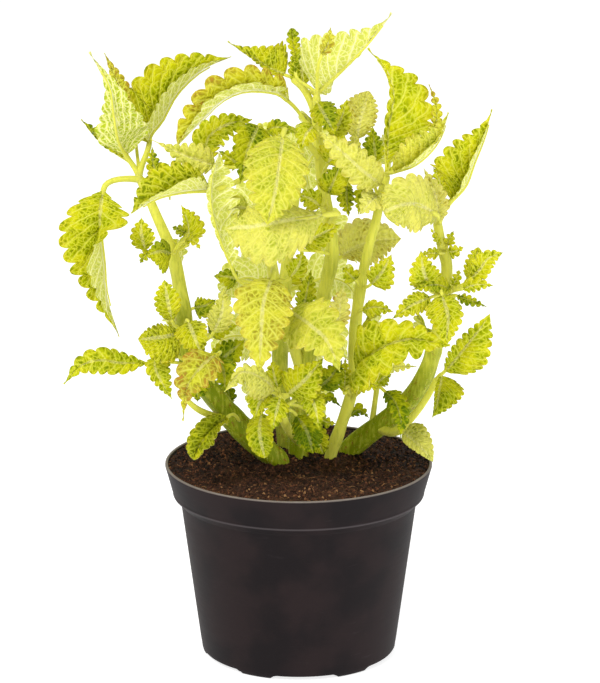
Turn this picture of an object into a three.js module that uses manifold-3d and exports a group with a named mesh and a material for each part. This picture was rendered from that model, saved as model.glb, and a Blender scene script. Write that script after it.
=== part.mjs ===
// Coleus in a 13 cm nursery pot. Millimetres, +Z up, the origin at the middle of the pot's underside.
import * as THREE from "three";
import { mergeVertices } from "three/addons/utils/BufferGeometryUtils.js";
import Module from "manifold-3d";

const wasm = await Module();
wasm.setup();

// Driving dimensions
const rimRadius = 65;
const potHeight = 96;
const collarHeight = 15.3;
const collarFootRadius = 61.2;
const shoulderDrop = 3.6; // the slope from the collar's foot in to the body
const bodyTopRadius = 57.6;
const bodyFootRadius = 47.8;
const heelHeight = 4; // where the body turns in to its feet
const wall = 1.3;
const footRise = 1.4; // how far the floor stands over the feet
const footWidth = 2.5;
const footGapWidth = 31;
const footCount = 6;
const footTurn = 3.5; // degrees that the feet are turned from the front
const drainRadius = 4;
const drainCircle = 30;
const padRadius = 16; // middle pad of the floor, level with the feet
const potSides = 36;
const soilSides = 18;
const soilRings = [0, 12, 25, 38, 50, 58];
const soilEdgeDrop = 2.4; // how far the soil's edge lies under the rim
const soilCrown = 0.7; // how far the middle of the soil lies under the rim
const soilLump = 0.6;
const soilGap = 0.3; // between the soil and the pot
const holeGap = 0.8; // between a stem and its hole
const bladeThickness = 0.8;
const toothDepth = 0.16; // of the half width
const fullness = 1.12; // makes up for the width that few teeth leave out
const toothSpacing = 14;
const stemSides = 6;
const petioleSides = 3;

// The plant is set out on a front elevation, drawn from an eye in front of the pot. A point [x, z, depth]
// is read on the plane through the pot's axis and lies spread times its depth behind that plane.
const eye = new THREE.Vector3(0, -1500, 558.5);
const spread = 1.5;

// Each stem has branches, whose points are [x, z, depth, radius], and leaves, whose rows are
// [branch, height it leaves the branch, midrib points, [half width right, left], turns, folds,
// [share of the length where it is widest, taper of its tip, share of the usual tooth depth]].
// Turn rolls the blade about its midrib from facing the eye, and fold lifts both halves to its upper side,
// both given evenly spaced from the base to the tip.
const stems = {
  stem_left: {
    hole: [-10, -3, 5.4],
    branches: {
      main: [
        [-10, 76, -3, 5.2], [-10, 95, -3, 5.4], [-16, 101.5, -5, 5.5], [-28, 113, -8, 5.2],
        [-41, 129, -11, 4.6], [-53, 147, -12, 4], [-56, 175, -10, 3.4], [-60, 198, -8, 2.6],
        [-68.5, 220, -6, 2.2], [-76, 238, -5, 1.7],
      ],
      shoot: [[-28, 115, -8, 2], [-42, 119, -15, 1.7], [-50, 123, -19, 1.5], [-58, 131, -21, 1.2]],
    },
    leaves: [
      ["main", 237, [[-82, 248, -4], [-85.5, 255, -8], [-87.3, 266, -10], [-89.3, 281, -8],
        [-98.8, 297.5, -2]], [11.3, 15], [160, 160], [25, 30], [0.26, 1.9, 0.5]],
      ["main", 237, [[-83, 246.5, 5], [-93, 253.5, 9], [-103, 265, 13]], [6, 1.2], [30, 30], [30, 30],
        [0.4, 1.5]],
      ["main", 238, [[-70.9, 253.5, -1], [-70.3, 257.5, 0], [-64.8, 264.5, 4], [-57.8, 277, 8],
        [-46, 288.3, 12], [-31.7, 295.2, 16]], [9.5, 23.6], [-50, -53], [76, 74], [0.36, 1.5]],
      ["main", 236, [[-93, 231, -7], [-94.5, 221, -8.5], [-94.5, 209, -10], [-93.2, 195, -12],
        [-92.2, 180, -13], [-86.5, 158.5, -13]], [19, 17], [0, 4, 32, 46, 46, 46], [10, 18, 54, 76, 76, 76],
        [0.42, 1.5]],
      ["main", 200, [[-73.5, 201.5, -6], [-75.3, 210, -5], [-75, 217.5, -3]], [5.7, 5], [0, 0], [15, 15]],
      ["main", 200, [[-71, 201, -10], [-74, 198.5, -12], [-76, 195, -13]], [2.2, 2.2], [0, 0], [15, 15]],
      ["main", 199, [[-61.5, 200, -14], [-67, 201, -17], [-73.5, 199, -19]], [5, 10], [0, 0], [10, 10]],
      ["main", 199, [[-53, 206, -8], [-53, 214, -7], [-56, 223.5, -5]], [8, 2.5], [0, 0], [20, 20]],
      ["main", 199, [[-54, 210, -12], [-57, 211.5, -14], [-60.5, 213, -15]], [2.5, 2.5], [0, 0], [20, 20]],
      ["main", 199, [[-54, 206, -14], [-50, 206, -17], [-47, 202, -18]], [2, 2], [0, 0], [20, 20]],
      ["main", 196, [[-58, 202, 2], [-57, 206, 12], [-56, 203, 22], [-56, 195, 27]], [5, 5], [180, 180],
        [10, 20]],
      ["main", 160, [[-61, 167, -16], [-63, 177, -18], [-64.5, 187, -18]], [5.5, 6], [0, 0], [15, 15],
        [0.45, 1.1]],
      ["main", 160, [[-57, 161, -18], [-66, 158.5, -25], [-77.5, 157.5, -29]], [5.8, 12], [0, 0], [10, 15],
        [0.55, 0.9]],
      ["main", 158, [[-53, 166, -19], [-50, 158, -25], [-46, 148, -27]], [8, 6.5], [0, 0], [10, 15]],
      ["main", 168, [[-50, 173, -10], [-45, 174, -10], [-40, 177, -8]], [6.5, 4.5], [-20, -20], [25, 25],
        [0.3, 1.2]],
      ["main", 144, [[-73, 145.5, -16], [-86, 145.5, -19], [-97, 146.8, -21], [-105.5, 144, -21],
        [-113.5, 135, -21]], [6, 6.3], [0, 0], [15, 20], [0.43, 1.4, 0.6]],
      ["main", 145, [[-68, 149, -20], [-69.5, 143, -25], [-66, 135, -27], [-61.5, 127.5, -27]], [4, 7],
        [0, 0], [10, 20], [0.3, 1.2]],
      ["main", 138, [[-39, 150, -24], [-46, 144.5, -31], [-52.5, 136, -34], [-55, 127, -35],
        [-55.9, 116.5, -34]], [9, 9], [0, 30], [10, 40], [0.32, 2.3]],
      ["main", 132, [[-40, 145, -8], [-33, 151, -8], [-26, 157, -6]], [6.5, 6.5], [0, 0], [15, 15]],
      ["main", 134, [[-47, 139, -17], [-49, 132, -20], [-49, 126, -21]], [5, 5], [0, 0], [15, 15]],
      ["main", 150, [[-41, 161, -16], [-37, 171, -18], [-36, 183, -16]], [5.5, 5.5], [0, 0], [10, 20]],
      ["main", 152, [[-43, 160, -8], [-38, 162.5, -10], [-29, 164.5, -8]], [4.5, 4], [10, 10], [15, 15]],
      ["main", 150, [[-55, 158, 2], [-57, 165, 14], [-58, 161, 28], [-58, 151, 34]], [9, 9], [180, 180],
        [10, 20]],
      ["main", 130, [[-42, 140, -2], [-43, 147, 10], [-44, 144, 22], [-44, 135, 28]], [8, 8], [180, 180],
        [10, 20]],
      ["main", 234, [[-72, 236, 4], [-67, 238, 16], [-63, 234, 28], [-61, 226, 34]], [6, 6], [180, 180],
        [10, 20]],
      ["main", 130, [[-39, 148, -20], [-36, 140, -23], [-36, 130, -24]], [5.5, 5.5], [0, 0], [15, 15]],
      ["main", 118, [[-33, 125, -3], [-34, 131, -2], [-36, 138, -2]], [3.2, 3.2], [0, 0], [15, 15]],
      ["main", 237, [[-80, 266, 8], [-84, 279, 9], [-91.5, 297, 10]], [5.5, 3.5], [0, 0], [20, 20],
        [0.3, 1.3, 0.6]],
      ["main", 112, [[-35, 118, -19], [-43, 110.5, -24], [-48, 103.5, -27], [-51, 96.5, -29]], [8, 8.5],
        [20, 20], [46, 50], [0.5, 0.5, 0.5]],
      ["main", 107, [[-18, 120, -20], [-19, 110, -26], [-16.5, 97.5, -29]], [6, 6], [0, 0], [8, 15],
        [0.5, 0.55, 0.5]],
      ["main", 234, [[-66, 236, -8], [-69, 243, -9], [-69.5, 252, -8]], [3.8, 3.4], [0, 0], [15, 15]],
    ],
  },
  stem_centre: {
    hole: [0, 4, 4.7],
    branches: {
      main: [
        [0, 76, 4, 4.4], [0, 96, 4, 4.6], [0, 120, 3, 4.2], [5, 150, 0, 3.6], [12, 180, -3, 3],
        [16, 200, -4, 2.9], [14, 218, -4, 2.6], [11, 237, -4, 2.3], [9, 258, -4, 2], [8.5, 278, -4, 1.6],
      ],
      left: [
        [3, 136, 2, 2.8], [-3, 156, -2, 2.6], [-9, 175, -6, 2.4], [-13, 196, -9, 2.2], [-15, 218, -10, 2],
        [-16, 240, -10, 1.7], [-16, 256, -9, 1.3],
      ],
      star: [[0, 106, 3, 2.4], [-5, 112, -12, 2.2], [-8, 120, -22, 1.9], [-9, 130, -26, 1.5]],
      arm: [[8.5, 260, -4, 1.7], [7, 270, -3, 1.7], [2.8, 279, -1, 1.6], [-3, 285, 3, 1.4]],
    },
    leaves: [
      ["main", 250, [[-4.8, 273.8, -3], [-9, 277.2, -5], [-17, 278.7, -8], [-27, 278.2, -12],
        [-37, 273.3, -15], [-46, 264.2, -17], [-57, 252.8, -18]], [11.4, 7.5], [38, 40, 44, 54, 44],
        [62, 64, 68, 74, 60], [0.59, 0.55]],
      ["arm", 284, [[-6.5, 286.5, 6], [-14.5, 289.7, 8], [-21.5, 294.5, 10], [-33.4, 302.3, 12]], [13.3, 4],
        [30, 30], [30, 40], [0.26, 1.8]],
      ["main", 277, [[9.3, 278.6, -3], [20, 288.5, 1], [32.6, 301.6, 6], [44, 316.3, 11]], [21.3, 9],
        [220, 225], [40, 45], [0.25, 1.9]],
      ["main", 277, [[-1.5, 287.5, -6], [-1.3, 295, -6], [-2.7, 302, -6], [-3.2, 308.8, -5]], [3.2, 2.6],
        [0, 0], [30, 30], [0.72, 0.5]],
      ["main", 277, [[11, 296, -7], [14, 302, -7], [15, 309, -6]], [3, 3], [0, 0], [30, 30]],
      ["main", 268, [[9, 273, -10], [13, 266, -15], [18, 257, -17]], [5.5, 6], [0, 0], [15, 15]],
      ["main", 252, [[7, 262, -14], [3, 257, -19], [1, 250, -21]], [5, 5], [0, 0], [10, 10]],
      ["main", 250, [[8, 256, 6], [6, 261, 16], [3, 258, 28], [1, 250, 34]], [8, 8], [180, 180], [10, 20]],
      ["main", 246, [[-7.5, 256, -22], [-8, 245, -30], [-10, 231, -35], [-15, 214, -37]], [12.5, 9], [0, 0],
        [10, 15], [0.42, 1.1]],
      ["main", 220, [[14, 229.5, -13], [17, 236, -15], [20, 244, -13]], [6.5, 6.5], [0, 0], [20, 20]],
      ["main", 198, [[2, 204, -20], [10, 209, -22], [20, 214, -19]], [6, 6], [0, 0], [15, 15]],
      ["main", 212, [[14, 219, -18], [-6, 216, -29], [-22, 213, -34], [-35, 212, -33]], [13, 18], [35, 35],
        [-35, -25], [0.5, 1.1]],
      ["main", 168, [[2, 172, -14], [4, 181, -15], [6, 192, -13]], [4.5, 4.5], [0, 0], [20, 20]],
      ["main", 158, [[-4, 171, -22], [6, 164, -32], [14, 156, -38], [20, 141, -41]], [13, 13], [0, 0],
        [12, 20]],
      ["main", 193, [[20, 198, 5], [28, 203, 9], [38, 206, 12], [49, 207, 13]], [11, 13], [0, 0], [8, 8],
        [0.45, 1]],
      ["left", 238, [[-42, 231, -24], [-55, 230, -26], [-67, 227, -26], [-79.7, 219.5, -24]], [14, 12],
        [56, 46, 40, 40], [84, 66, 54, 52], [0.42, 1.1]],
      ["left", 240, [[-40, 243, -18], [-55, 248.3, -19], [-70, 255.5, -16]], [7, 6.5], [0, 0], [20, 20],
        [0.25, 2.2]],
      ["left", 246, [[-42, 245, -10], [-43, 255, -10], [-35, 262, -9], [-22, 265, -7]], [8.5, 7.2],
        [-20, -20], [20, 20], [0.4, 1.1]],
      ["left", 254, [[-19, 262, -13], [-23.5, 252, -18], [-28, 234, -20]], [8.3, 8.5], [0, 0], [20, 20]],
      ["left", 254, [[-15, 260, -14], [-9, 261.5, -18], [-1, 258.5, -20]], [4, 3.5], [0, 0], [20, 20]],
      ["left", 216, [[-24, 222, -19], [-30, 222, -22], [-37, 217, -23]], [5.5, 5], [0, 0], [10, 10]],
      ["left", 178, [[-31, 190, -22], [-38, 208, -26], [-42, 225, -27], [-41, 238, -26], [-37.5, 249, -25]],
        [1.5, 12.5], [184, 184], [24, 30], [0.5, 1.1]],
      ["left", 182, [[-29.5, 187, -8], [-34, 188.5, -9], [-41, 188.8, -10]], [4, 5.5], [0, 0], [20, 20]],
      ["left", 190, [[-13, 187, -28], [-17, 175, -35], [-18, 160, -40], [-19, 141, -41]], [12.5, 13],
        [0, 0], [8, 12], [0.34, 1.1]],
      ["star", 129, [[-12, 133, -27], [-20, 139, -31], [-28, 141, -34], [-36, 131, -36]], [3.5, 11], [0, 0],
        [10, 15]],
      ["star", 129, [[-10, 133, -26], [-12, 140, -26], [-12.5, 147, -24]], [4.5, 4.5], [0, 0], [20, 20]],
      ["star", 129, [[-9, 128, -30], [-11, 120, -35], [-13, 111, -37]], [5, 5], [0, 0], [10, 10]],
      ["star", 129, [[-5, 130, -28], [3, 137, -31], [12, 148, -31]], [9.5, 9], [0, 0], [10, 20]],
      ["star", 127, [[4, 133, -28], [8, 123, -34], [10, 112, -37]], [5, 5], [0, 0], [10, 10]],
      ["star", 122, [[2, 129, -18], [8, 134, -18], [14, 138, -16]], [5, 5], [0, 0], [20, 20]],
      ["main", 236, [[14, 244, -12], [18, 251, -15], [22, 258, -15]], [6, 7], [0, 0], [15, 15]],
      ["main", 228, [[18, 231, 1], [22, 239, 1], [25, 249, 2]], [5.5, 5.5], [0, 0], [15, 15]],
      ["star", 127, [[11, 134, -20], [16, 139, -23], [21, 147, -23]], [6, 6], [0, 0], [15, 15]],
      ["main", 166, [[18, 163, -14], [20, 173, -16], [21, 184, -15]], [5, 6], [0, 0], [15, 15]],
      ["main", 256, [[16, 257, -8], [20, 265, -9], [23, 275, -8]], [5.5, 5.5], [0, 0], [15, 15]],
      ["main", 222, [[10, 223, -12], [5, 227, -15], [-1, 229, -16]], [5, 5], [0, 0], [15, 15]],
      ["main", 276, [[3, 281, 2], [1.5, 289, 3], [1.5, 300, 4]], [3.6, 6], [0, 0], [15, 15], [0.5, 0.7]],
      ["left", 186, [[-4, 188, -14], [0, 194, -15], [2, 202, -14]], [4.5, 4.5], [0, 0], [15, 15]],
      ["left", 240, [[-28, 243, -12], [-32, 246, -14], [-38, 250, -14]], [4, 4], [0, 0], [15, 15]],
      ["star", 128, [[-14, 130, -29], [-18.5, 126, -32], [-21.5, 116.5, -33]], [7, 5], [0, 0], [15, 15]],
      ["main", 110, [[8, 122, 2], [14, 128, 3], [20.5, 123.5, 4]], [2, 3], [0, 0], [20, 20]],
      ["star", 122, [[-1, 119, -18], [4, 111, -22], [7, 100, -22]], [6.5, 6.5], [0, 0], [12, 20], [0.5, 0.8]],
      ["main", 228, [[23, 233, -6], [23, 226, -8], [24, 218, -9]], [4.8, 3.6], [0, 0], [20, 20]],
      ["main", 240, [[24, 241, -6], [26, 250, -7], [27, 260, -6]], [4, 5], [0, 0], [15, 15]],
      ["star", 124, [[9, 118.5, -10], [13, 116, -11], [18, 115, -11]], [3, 2.5], [0, 0], [15, 15]],
      ["main", 108, [[5, 115, -7], [9, 108, -10], [12, 99.5, -11]], [5.5, 5], [0, 0], [10, 16],
        [0.5, 0.7, 0.7]],
    ],
  },
  stem_mid_right: {
    hole: [15, 1, 3],
    branches: {
      main: [
        [15, 76, 1, 2.7], [15, 96, 1, 2.8], [20, 112, -1, 2.6], [26, 133, -3, 2.4], [27, 160, -4, 2.6],
        [30, 185, -5, 2.8], [34, 205, -6, 2.8], [37, 216, -6, 2.6], [39, 227, -6, 2.6], [42, 239, -6, 2.2],
      ],
    },
    leaves: [
      ["main", 236, [[28, 256, 1], [29, 264, 3], [31, 271, 5], [33.2, 278.8, 6]], [7, 9.5], [0, 0],
        [10, 15], [0.45, 0.75]],
      ["main", 239, [[42, 242, -8], [41.5, 258, -7], [44.2, 277, -4], [40.5, 289.5, -1], [32.3, 299, 1]],
        [18.8, 3], [30, 35], [28, 35], [0.37, 3.2]],
      ["main", 238, [[45.5, 239.8, -14], [55, 243, -17], [63.5, 250.5, -17], [68, 258, -16],
        [71, 268.5, -14]], [8, 12], [-40, -40], [64, 64]],
      ["main", 238, [[62.5, 257, -8], [65.3, 265, -6], [64.8, 273, -4], [61.5, 282, -2]], [2.4, 2.2],
        [0, 0], [25, 25]],
      ["main", 237, [[43, 244, 3], [41, 254, 14], [40, 257, 26], [40, 250, 34]], [8, 8], [180, 180], [10, 20]],
      ["main", 228, [[37, 233, -17], [33, 239, -21], [28, 248, -22]], [7, 8], [0, 0], [15, 15]],
      ["main", 226, [[37, 228, -16], [34, 225, -21], [29, 219, -24]], [6, 6], [0, 0], [20, 20]],
      ["main", 225, [[34, 233, -10], [30, 228, -13], [28.5, 219, -15]], [4, 4], [0, 0], [30, 30]],
      ["main", 181, [[35, 185, -10], [40, 191, -12], [44.5, 199.5, -12]], [7.5, 5.5], [0, 0], [20, 20]],
      ["main", 181, [[27, 187, -10], [24, 190, -13], [21, 193, -14]], [4, 4], [0, 0], [25, 25]],
      ["main", 164, [[31, 172, -8], [38, 173.5, -12], [45.5, 171, -12]], [4.6, 3.2], [0, 0], [20, 20]],
      ["main", 131, [[29, 141, -16], [38, 151, -24], [53, 157, -31], [73, 154, -33]], [22, 12.3],
        [-20, -25], [30, 35], [0.34, 1.15]],
      ["main", 133, [[39, 142.5, -7], [47, 143.5, -8], [57, 143.8, -8]], [2.5, 2.5], [0, 0], [20, 20]],
      ["main", 128, [[25, 134, -14], [32, 136, -18], [41, 133, -19]], [5.5, 4.5], [0, 0], [20, 20]],
      ["main", 126, [[42, 131, -22], [47, 125, -27], [49.5, 117, -30], [49.5, 108, -31]], [4, 5.5], [0, 0],
        [15, 20]],
      ["main", 108, [[25, 119, 4], [29, 122, 5], [34, 118, 5]], [2.5, 3], [0, 0], [20, 20]],
      ["main", 150, [[29, 158, 2], [33, 163, 14], [36, 160, 26], [37, 151, 32]], [9, 9], [180, 180], [10, 20]],
      ["main", 234, [[37, 245, -1], [36, 253, -1], [35, 262, 0]], [4, 6], [0, 0], [20, 20]],
      ["main", 134, [[22, 131, -10], [22.5, 139, -12], [22.5, 148.5, -12]], [3, 3], [0, 0], [15, 15]],
    ],
  },
  stem_right: {
    hole: [23.3, 9, 5.6],
    branches: {
      main: [
        [23, 76, 9, 5], [23, 98.5, 9, 5.2], [31, 107.5, 7, 5.1], [42, 116, 4, 4.9], [51, 124, 2, 4.7],
        [57, 131.5, 1, 4.5], [61.5, 140, 0, 4.2], [64.5, 149, 0, 3.6], [67, 160, 0, 3.1],
        [70, 180, -1, 2.8], [71, 194, -2, 2.6], [68.5, 204, -3, 2.2], [66, 216, -3, 1.8],
      ],
      shoot: [
        [38, 112.5, 5, 2.2], [47, 111, -5, 2.1], [54, 117, -9, 1.9], [62, 128, -12, 1.7],
        [67, 138, -12, 1.4],
      ],
      thin: [[35, 110.5, 6, 1.6], [36.5, 122, 5, 1.3], [38, 134, 4, 1.1]],
    },
    leaves: [
      ["main", 214, [[73, 226, -2], [79.3, 233, -2], [83.4, 244, -1], [88.3, 257, 1], [91.6, 270, 3]],
        [8, 18.8], [-40, -40], [64, 64], [0.3, 1.75]],
      ["main", 214, [[67.5, 216, -7], [65.3, 229, -8], [59.5, 241.5, -7]], [5, 4.8], [0, 0], [25, 25]],
      ["main", 214, [[64, 220, -14], [57, 223.7, -18], [50, 224, -21], [40.5, 220, -22]], [12.8, 12.3],
        [0, 0], [8, 12], [0.5, 0.5]],
      ["main", 213, [[66, 218, 4], [61, 223, 14], [55, 222, 25], [51, 215, 30]], [8, 8], [180, 180], [10, 20]],
      ["main", 201, [[67.5, 204, -7], [65.5, 208, -9], [63, 212.5, -9]], [1.2, 1.2], [0, 0], [20, 20]],
      ["main", 201, [[71, 204, -4], [72, 207, -4], [74, 211, -3]], [3, 2], [0, 0], [20, 20]],
      ["main", 201, [[72, 201, -6], [75, 201, -8], [79, 203, -9]], [3, 3], [0, 0], [20, 20]],
      ["main", 199, [[67, 200, -8], [63, 200, -10], [59, 200, -11]], [2.5, 2.5], [0, 0], [20, 20]],
      ["main", 176, [[63, 184, -13], [60, 191, -16], [58.5, 201.5, -16]], [7, 7.5], [0, 0], [10, 20]],
      ["main", 178, [[73, 182, -9], [65, 184.5, -14], [54.5, 182, -17]], [4, 4], [0, 0], [25, 25]],
      ["main", 174, [[63, 178, -14], [54, 174, -19], [45, 167.5, -22]], [4.8, 5], [0, 0], [15, 15]],
      ["main", 172, [[69, 179, -16], [72, 168, -21], [71, 153, -24]], [10, 7], [0, 0], [12, 15]],
      ["main", 178, [[81.5, 186, -6], [84, 193, -7], [86, 203, -6]], [5, 4.5], [0, 0], [15, 20], [0.5, 0.7]],
      ["main", 178, [[82, 187, -10], [87, 192, -12], [91, 197.5, -13], [97.8, 200.3, -13]], [5, 5], [0, 0],
        [20, 20], [0.4, 1]],
      ["main", 178, [[79, 182.5, -12], [86, 184.5, -15], [93.5, 184, -16]], [2.8, 3.5], [0, 0], [20, 20]],
      ["main", 175, [[76, 179, -4], [83, 176.7, -5], [90.3, 173.6, -5]], [2.8, 1.8], [0, 0], [25, 25]],
      ["main", 176, [[70, 183, 4], [68, 188, 15], [66, 184, 27], [66, 175, 32]], [7, 7], [180, 180], [10, 20]],
      ["main", 152, [[63, 158, 5], [60, 163, 16], [58, 160, 27], [57, 153, 32]], [7, 7], [180, 180], [10, 20]],
      ["shoot", 137, [[70.8, 141.5, -13], [78, 150.5, -15], [84, 158.5, -16], [92, 170, -16]], [12, 5],
        [10, 12], [15, 20], [0.42, 1]],
      ["shoot", 137, [[69, 139, -16], [67.7, 131, -19], [66.7, 125, -21], [64.8, 118, -22]], [1.8, 11.3],
        [0, 0], [10, 20], [0.3, 1.2]],
      ["thin", 132, [[38, 135, 3], [41, 138, 3], [45, 140, 3]], [4, 4], [0, 0], [15, 15]],
      ["shoot", 113, [[51, 110, -12], [55, 107, -17], [60, 102, -21], [65.5, 95.5, -23]], [3.5, 8.3],
        [0, 0], [8, 12], [0.33, 0.9, 0.5]],
      ["main", 180, [[74, 184, -4], [76, 188, -5], [77, 192, -5]], [2.2, 2.2], [0, 0], [20, 20]],
      ["main", 214, [[68.5, 228, -4], [67, 236, -5], [64, 242, -5]], [2, 3], [0, 0], [15, 15]],
    ],
  },
  stem_back: {
    hole: [-6, 15, 4.2],
    branches: {
      main: [
        [-6, 80, 15, 4], [-6, 100, 15, 4.2], [-8, 125, 19, 3.8], [-9, 150, 23, 3.4], [-7, 180, 26, 3],
        [-4, 210, 29, 2.5], [0, 238, 30, 1.8],
      ],
    },
    leaves: [
      ["main", 122, [[-14, 128, 26], [-20, 134, 34], [-23, 130, 45], [-23, 120, 50]], [11, 11], [180, 180],
        [10, 15]],
      ["main", 122, [[-2, 127, 25], [6, 132, 34], [11, 129, 43], [13, 119, 48]], [11, 11], [180, 180],
        [10, 15]],
      ["main", 150, [[-17, 154, 28], [-27, 159, 34], [-37, 157, 39], [-43, 147, 42]], [12, 12], [180, 180],
        [10, 15]],
      ["main", 150, [[-2, 153, 30], [8, 158, 38], [18, 157, 45], [24, 147, 48]], [13, 13], [180, 180],
        [10, 15]],
      ["main", 176, [[-8, 184, 34], [-8, 187, 43], [-9, 181, 54], [-9, 166, 58]], [13.5, 13.5], [180, 180],
        [10, 15]],
      ["main", 180, [[2, 184, 30], [13, 188, 32], [23, 185, 35], [29, 175, 37]], [11.5, 11.5], [180, 180],
        [10, 15]],
      ["main", 180, [[-14, 184, 29], [-24, 188, 32], [-33, 184, 34], [-38, 173, 35]], [11.5, 11.5],
        [180, 180], [10, 15]],
      ["main", 208, [[-6, 214, 35], [-7, 218, 44], [-9, 211, 54], [-9, 197, 58]], [13.5, 13.5], [180, 180],
        [10, 15]],
      ["main", 208, [[3, 211, 32], [12, 211, 38], [22, 206, 42], [28, 195, 45]], [11, 11], [180, 180],
        [10, 15]],
      ["main", 208, [[-11, 215, 30], [-22, 222, 34], [-33, 222, 35], [-41, 213, 36]], [11.5, 11.5],
        [180, 180], [10, 15]],
      ["main", 236, [[-4, 243, 34], [-9, 253, 38], [-16, 258, 43], [-24, 256, 46]], [10, 10], [180, 180],
        [10, 15]],
      ["main", 237, [[4, 243, 34], [10, 252, 39], [18, 255, 44], [26, 251, 47]], [10, 10], [180, 180],
        [10, 15]],
      ["main", 234, [[1, 240, 37], [2, 243, 46], [4, 238, 54], [6, 227, 57]], [11.5, 11.5], [180, 180],
        [10, 15]],
    ],
  },
};

// Closed mesh to solid and back
function solidOf(geometry) {
  geometry.deleteAttribute("normal");
  geometry.deleteAttribute("uv");
  const merged = mergeVertices(geometry, 1e-4);
  return new wasm.Manifold(new wasm.Mesh({
    numProp: 3,
    vertProperties: new Float32Array(merged.attributes.position.array),
    triVerts: new Uint32Array(merged.index.array),
  }));
}

function geometryOf(solid) {
  const { vertProperties, triVerts, numProp } = solid.getMesh();
  const geometry = new THREE.BufferGeometry();
  geometry.setAttribute("position", new THREE.BufferAttribute(vertProperties, numProp));
  geometry.setIndex(new THREE.BufferAttribute(triVerts, 1));
  const flat = geometry.toNonIndexed();
  flat.computeVertexNormals();
  return flat;
}

function meshFrom(points, faces) {
  const geometry = new THREE.BufferGeometry();
  geometry.setAttribute("position", new THREE.Float32BufferAttribute(points.flatMap((p) => p.toArray()), 3));
  geometry.setIndex(faces.flat());
  return geometry;
}

function place([x, z, depth]) {
  const onPlane = new THREE.Vector3(x, 0, z);
  return onPlane.sub(eye).multiplyScalar(1 - (spread * depth) / eye.y).add(eye);
}

function pathThrough(points) {
  return new THREE.CatmullRomCurve3(points, false, "centripetal");
}

// A tube whose radius follows radiusAt(0..1)
function taperedTube(path, radiusAt, steps, sides) {
  const points = [];
  const faces = [];
  let across = new THREE.Vector3(1, 0, 0);
  for (let i = 0; i <= steps; i++) {
    const t = i / steps;
    const tangent = path.getTangent(t);
    across = across.clone().addScaledVector(tangent, -across.dot(tangent)).normalize();
    const over = new THREE.Vector3().crossVectors(tangent, across);
    for (let k = 0; k < sides; k++) {
      const angle = (2 * Math.PI * (k + 0.5)) / sides;
      points.push(path.getPoint(t)
        .addScaledVector(across, radiusAt(t) * Math.cos(angle))
        .addScaledVector(over, radiusAt(t) * Math.sin(angle)));
    }
  }
  for (let i = 0; i < steps; i++) {
    for (let k = 0; k < sides; k++) {
      const a = i * sides + k;
      const b = i * sides + ((k + 1) % sides);
      faces.push([a, b, b + sides], [a, b + sides, a + sides]);
    }
  }
  const last = steps * sides;
  for (let k = 1; k < sides - 1; k++) {
    faces.push([0, k + 1, k], [last, last + k, last + k + 1]);
  }
  return solidOf(meshFrom(points, faces));
}

function branchPath(rows) {
  return pathThrough(rows.map(place));
}

function branchSolid(rows) {
  const radiusAt = (t) => {
    const at = Math.min(t * (rows.length - 1), rows.length - 1.001);
    const i = Math.floor(at);
    return THREE.MathUtils.lerp(rows[i][3], rows[i + 1][3], at - i);
  };
  return taperedTube(branchPath(rows), radiusAt, (rows.length - 1) * 2, stemSides);
}

// The point of a branch at a height read on the front elevation
function pointAtHeight(rows, height) {
  const upper = rows.findIndex((row, i) => i > 0 && row[1] >= height);
  const i = upper < 0 ? rows.length - 1 : upper;
  const share = (height - rows[i - 1][1]) / (rows[i][1] - rows[i - 1][1]);
  return branchPath(rows).getPoint((i - 1 + Math.min(share, 1)) / (rows.length - 1));
}

const usualShape = [0.34, 1.3, 1];

// Half width of an ovate blade with a drawn-out tip, 1 at its widest
function outline(u, [widest, taper]) {
  const shape = (v) => v ** ((taper * widest) / (1 - widest)) * (1 - v) ** taper;
  return shape(u) / shape(widest);
}

// Value at u, 0 to 1, of a list evenly spaced along a blade
function valueAt(list, u) {
  const along = u * (list.length - 1);
  const i = Math.min(Math.floor(along), list.length - 2);
  return THREE.MathUtils.lerp(list[i], list[i + 1], along - i);
}

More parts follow.
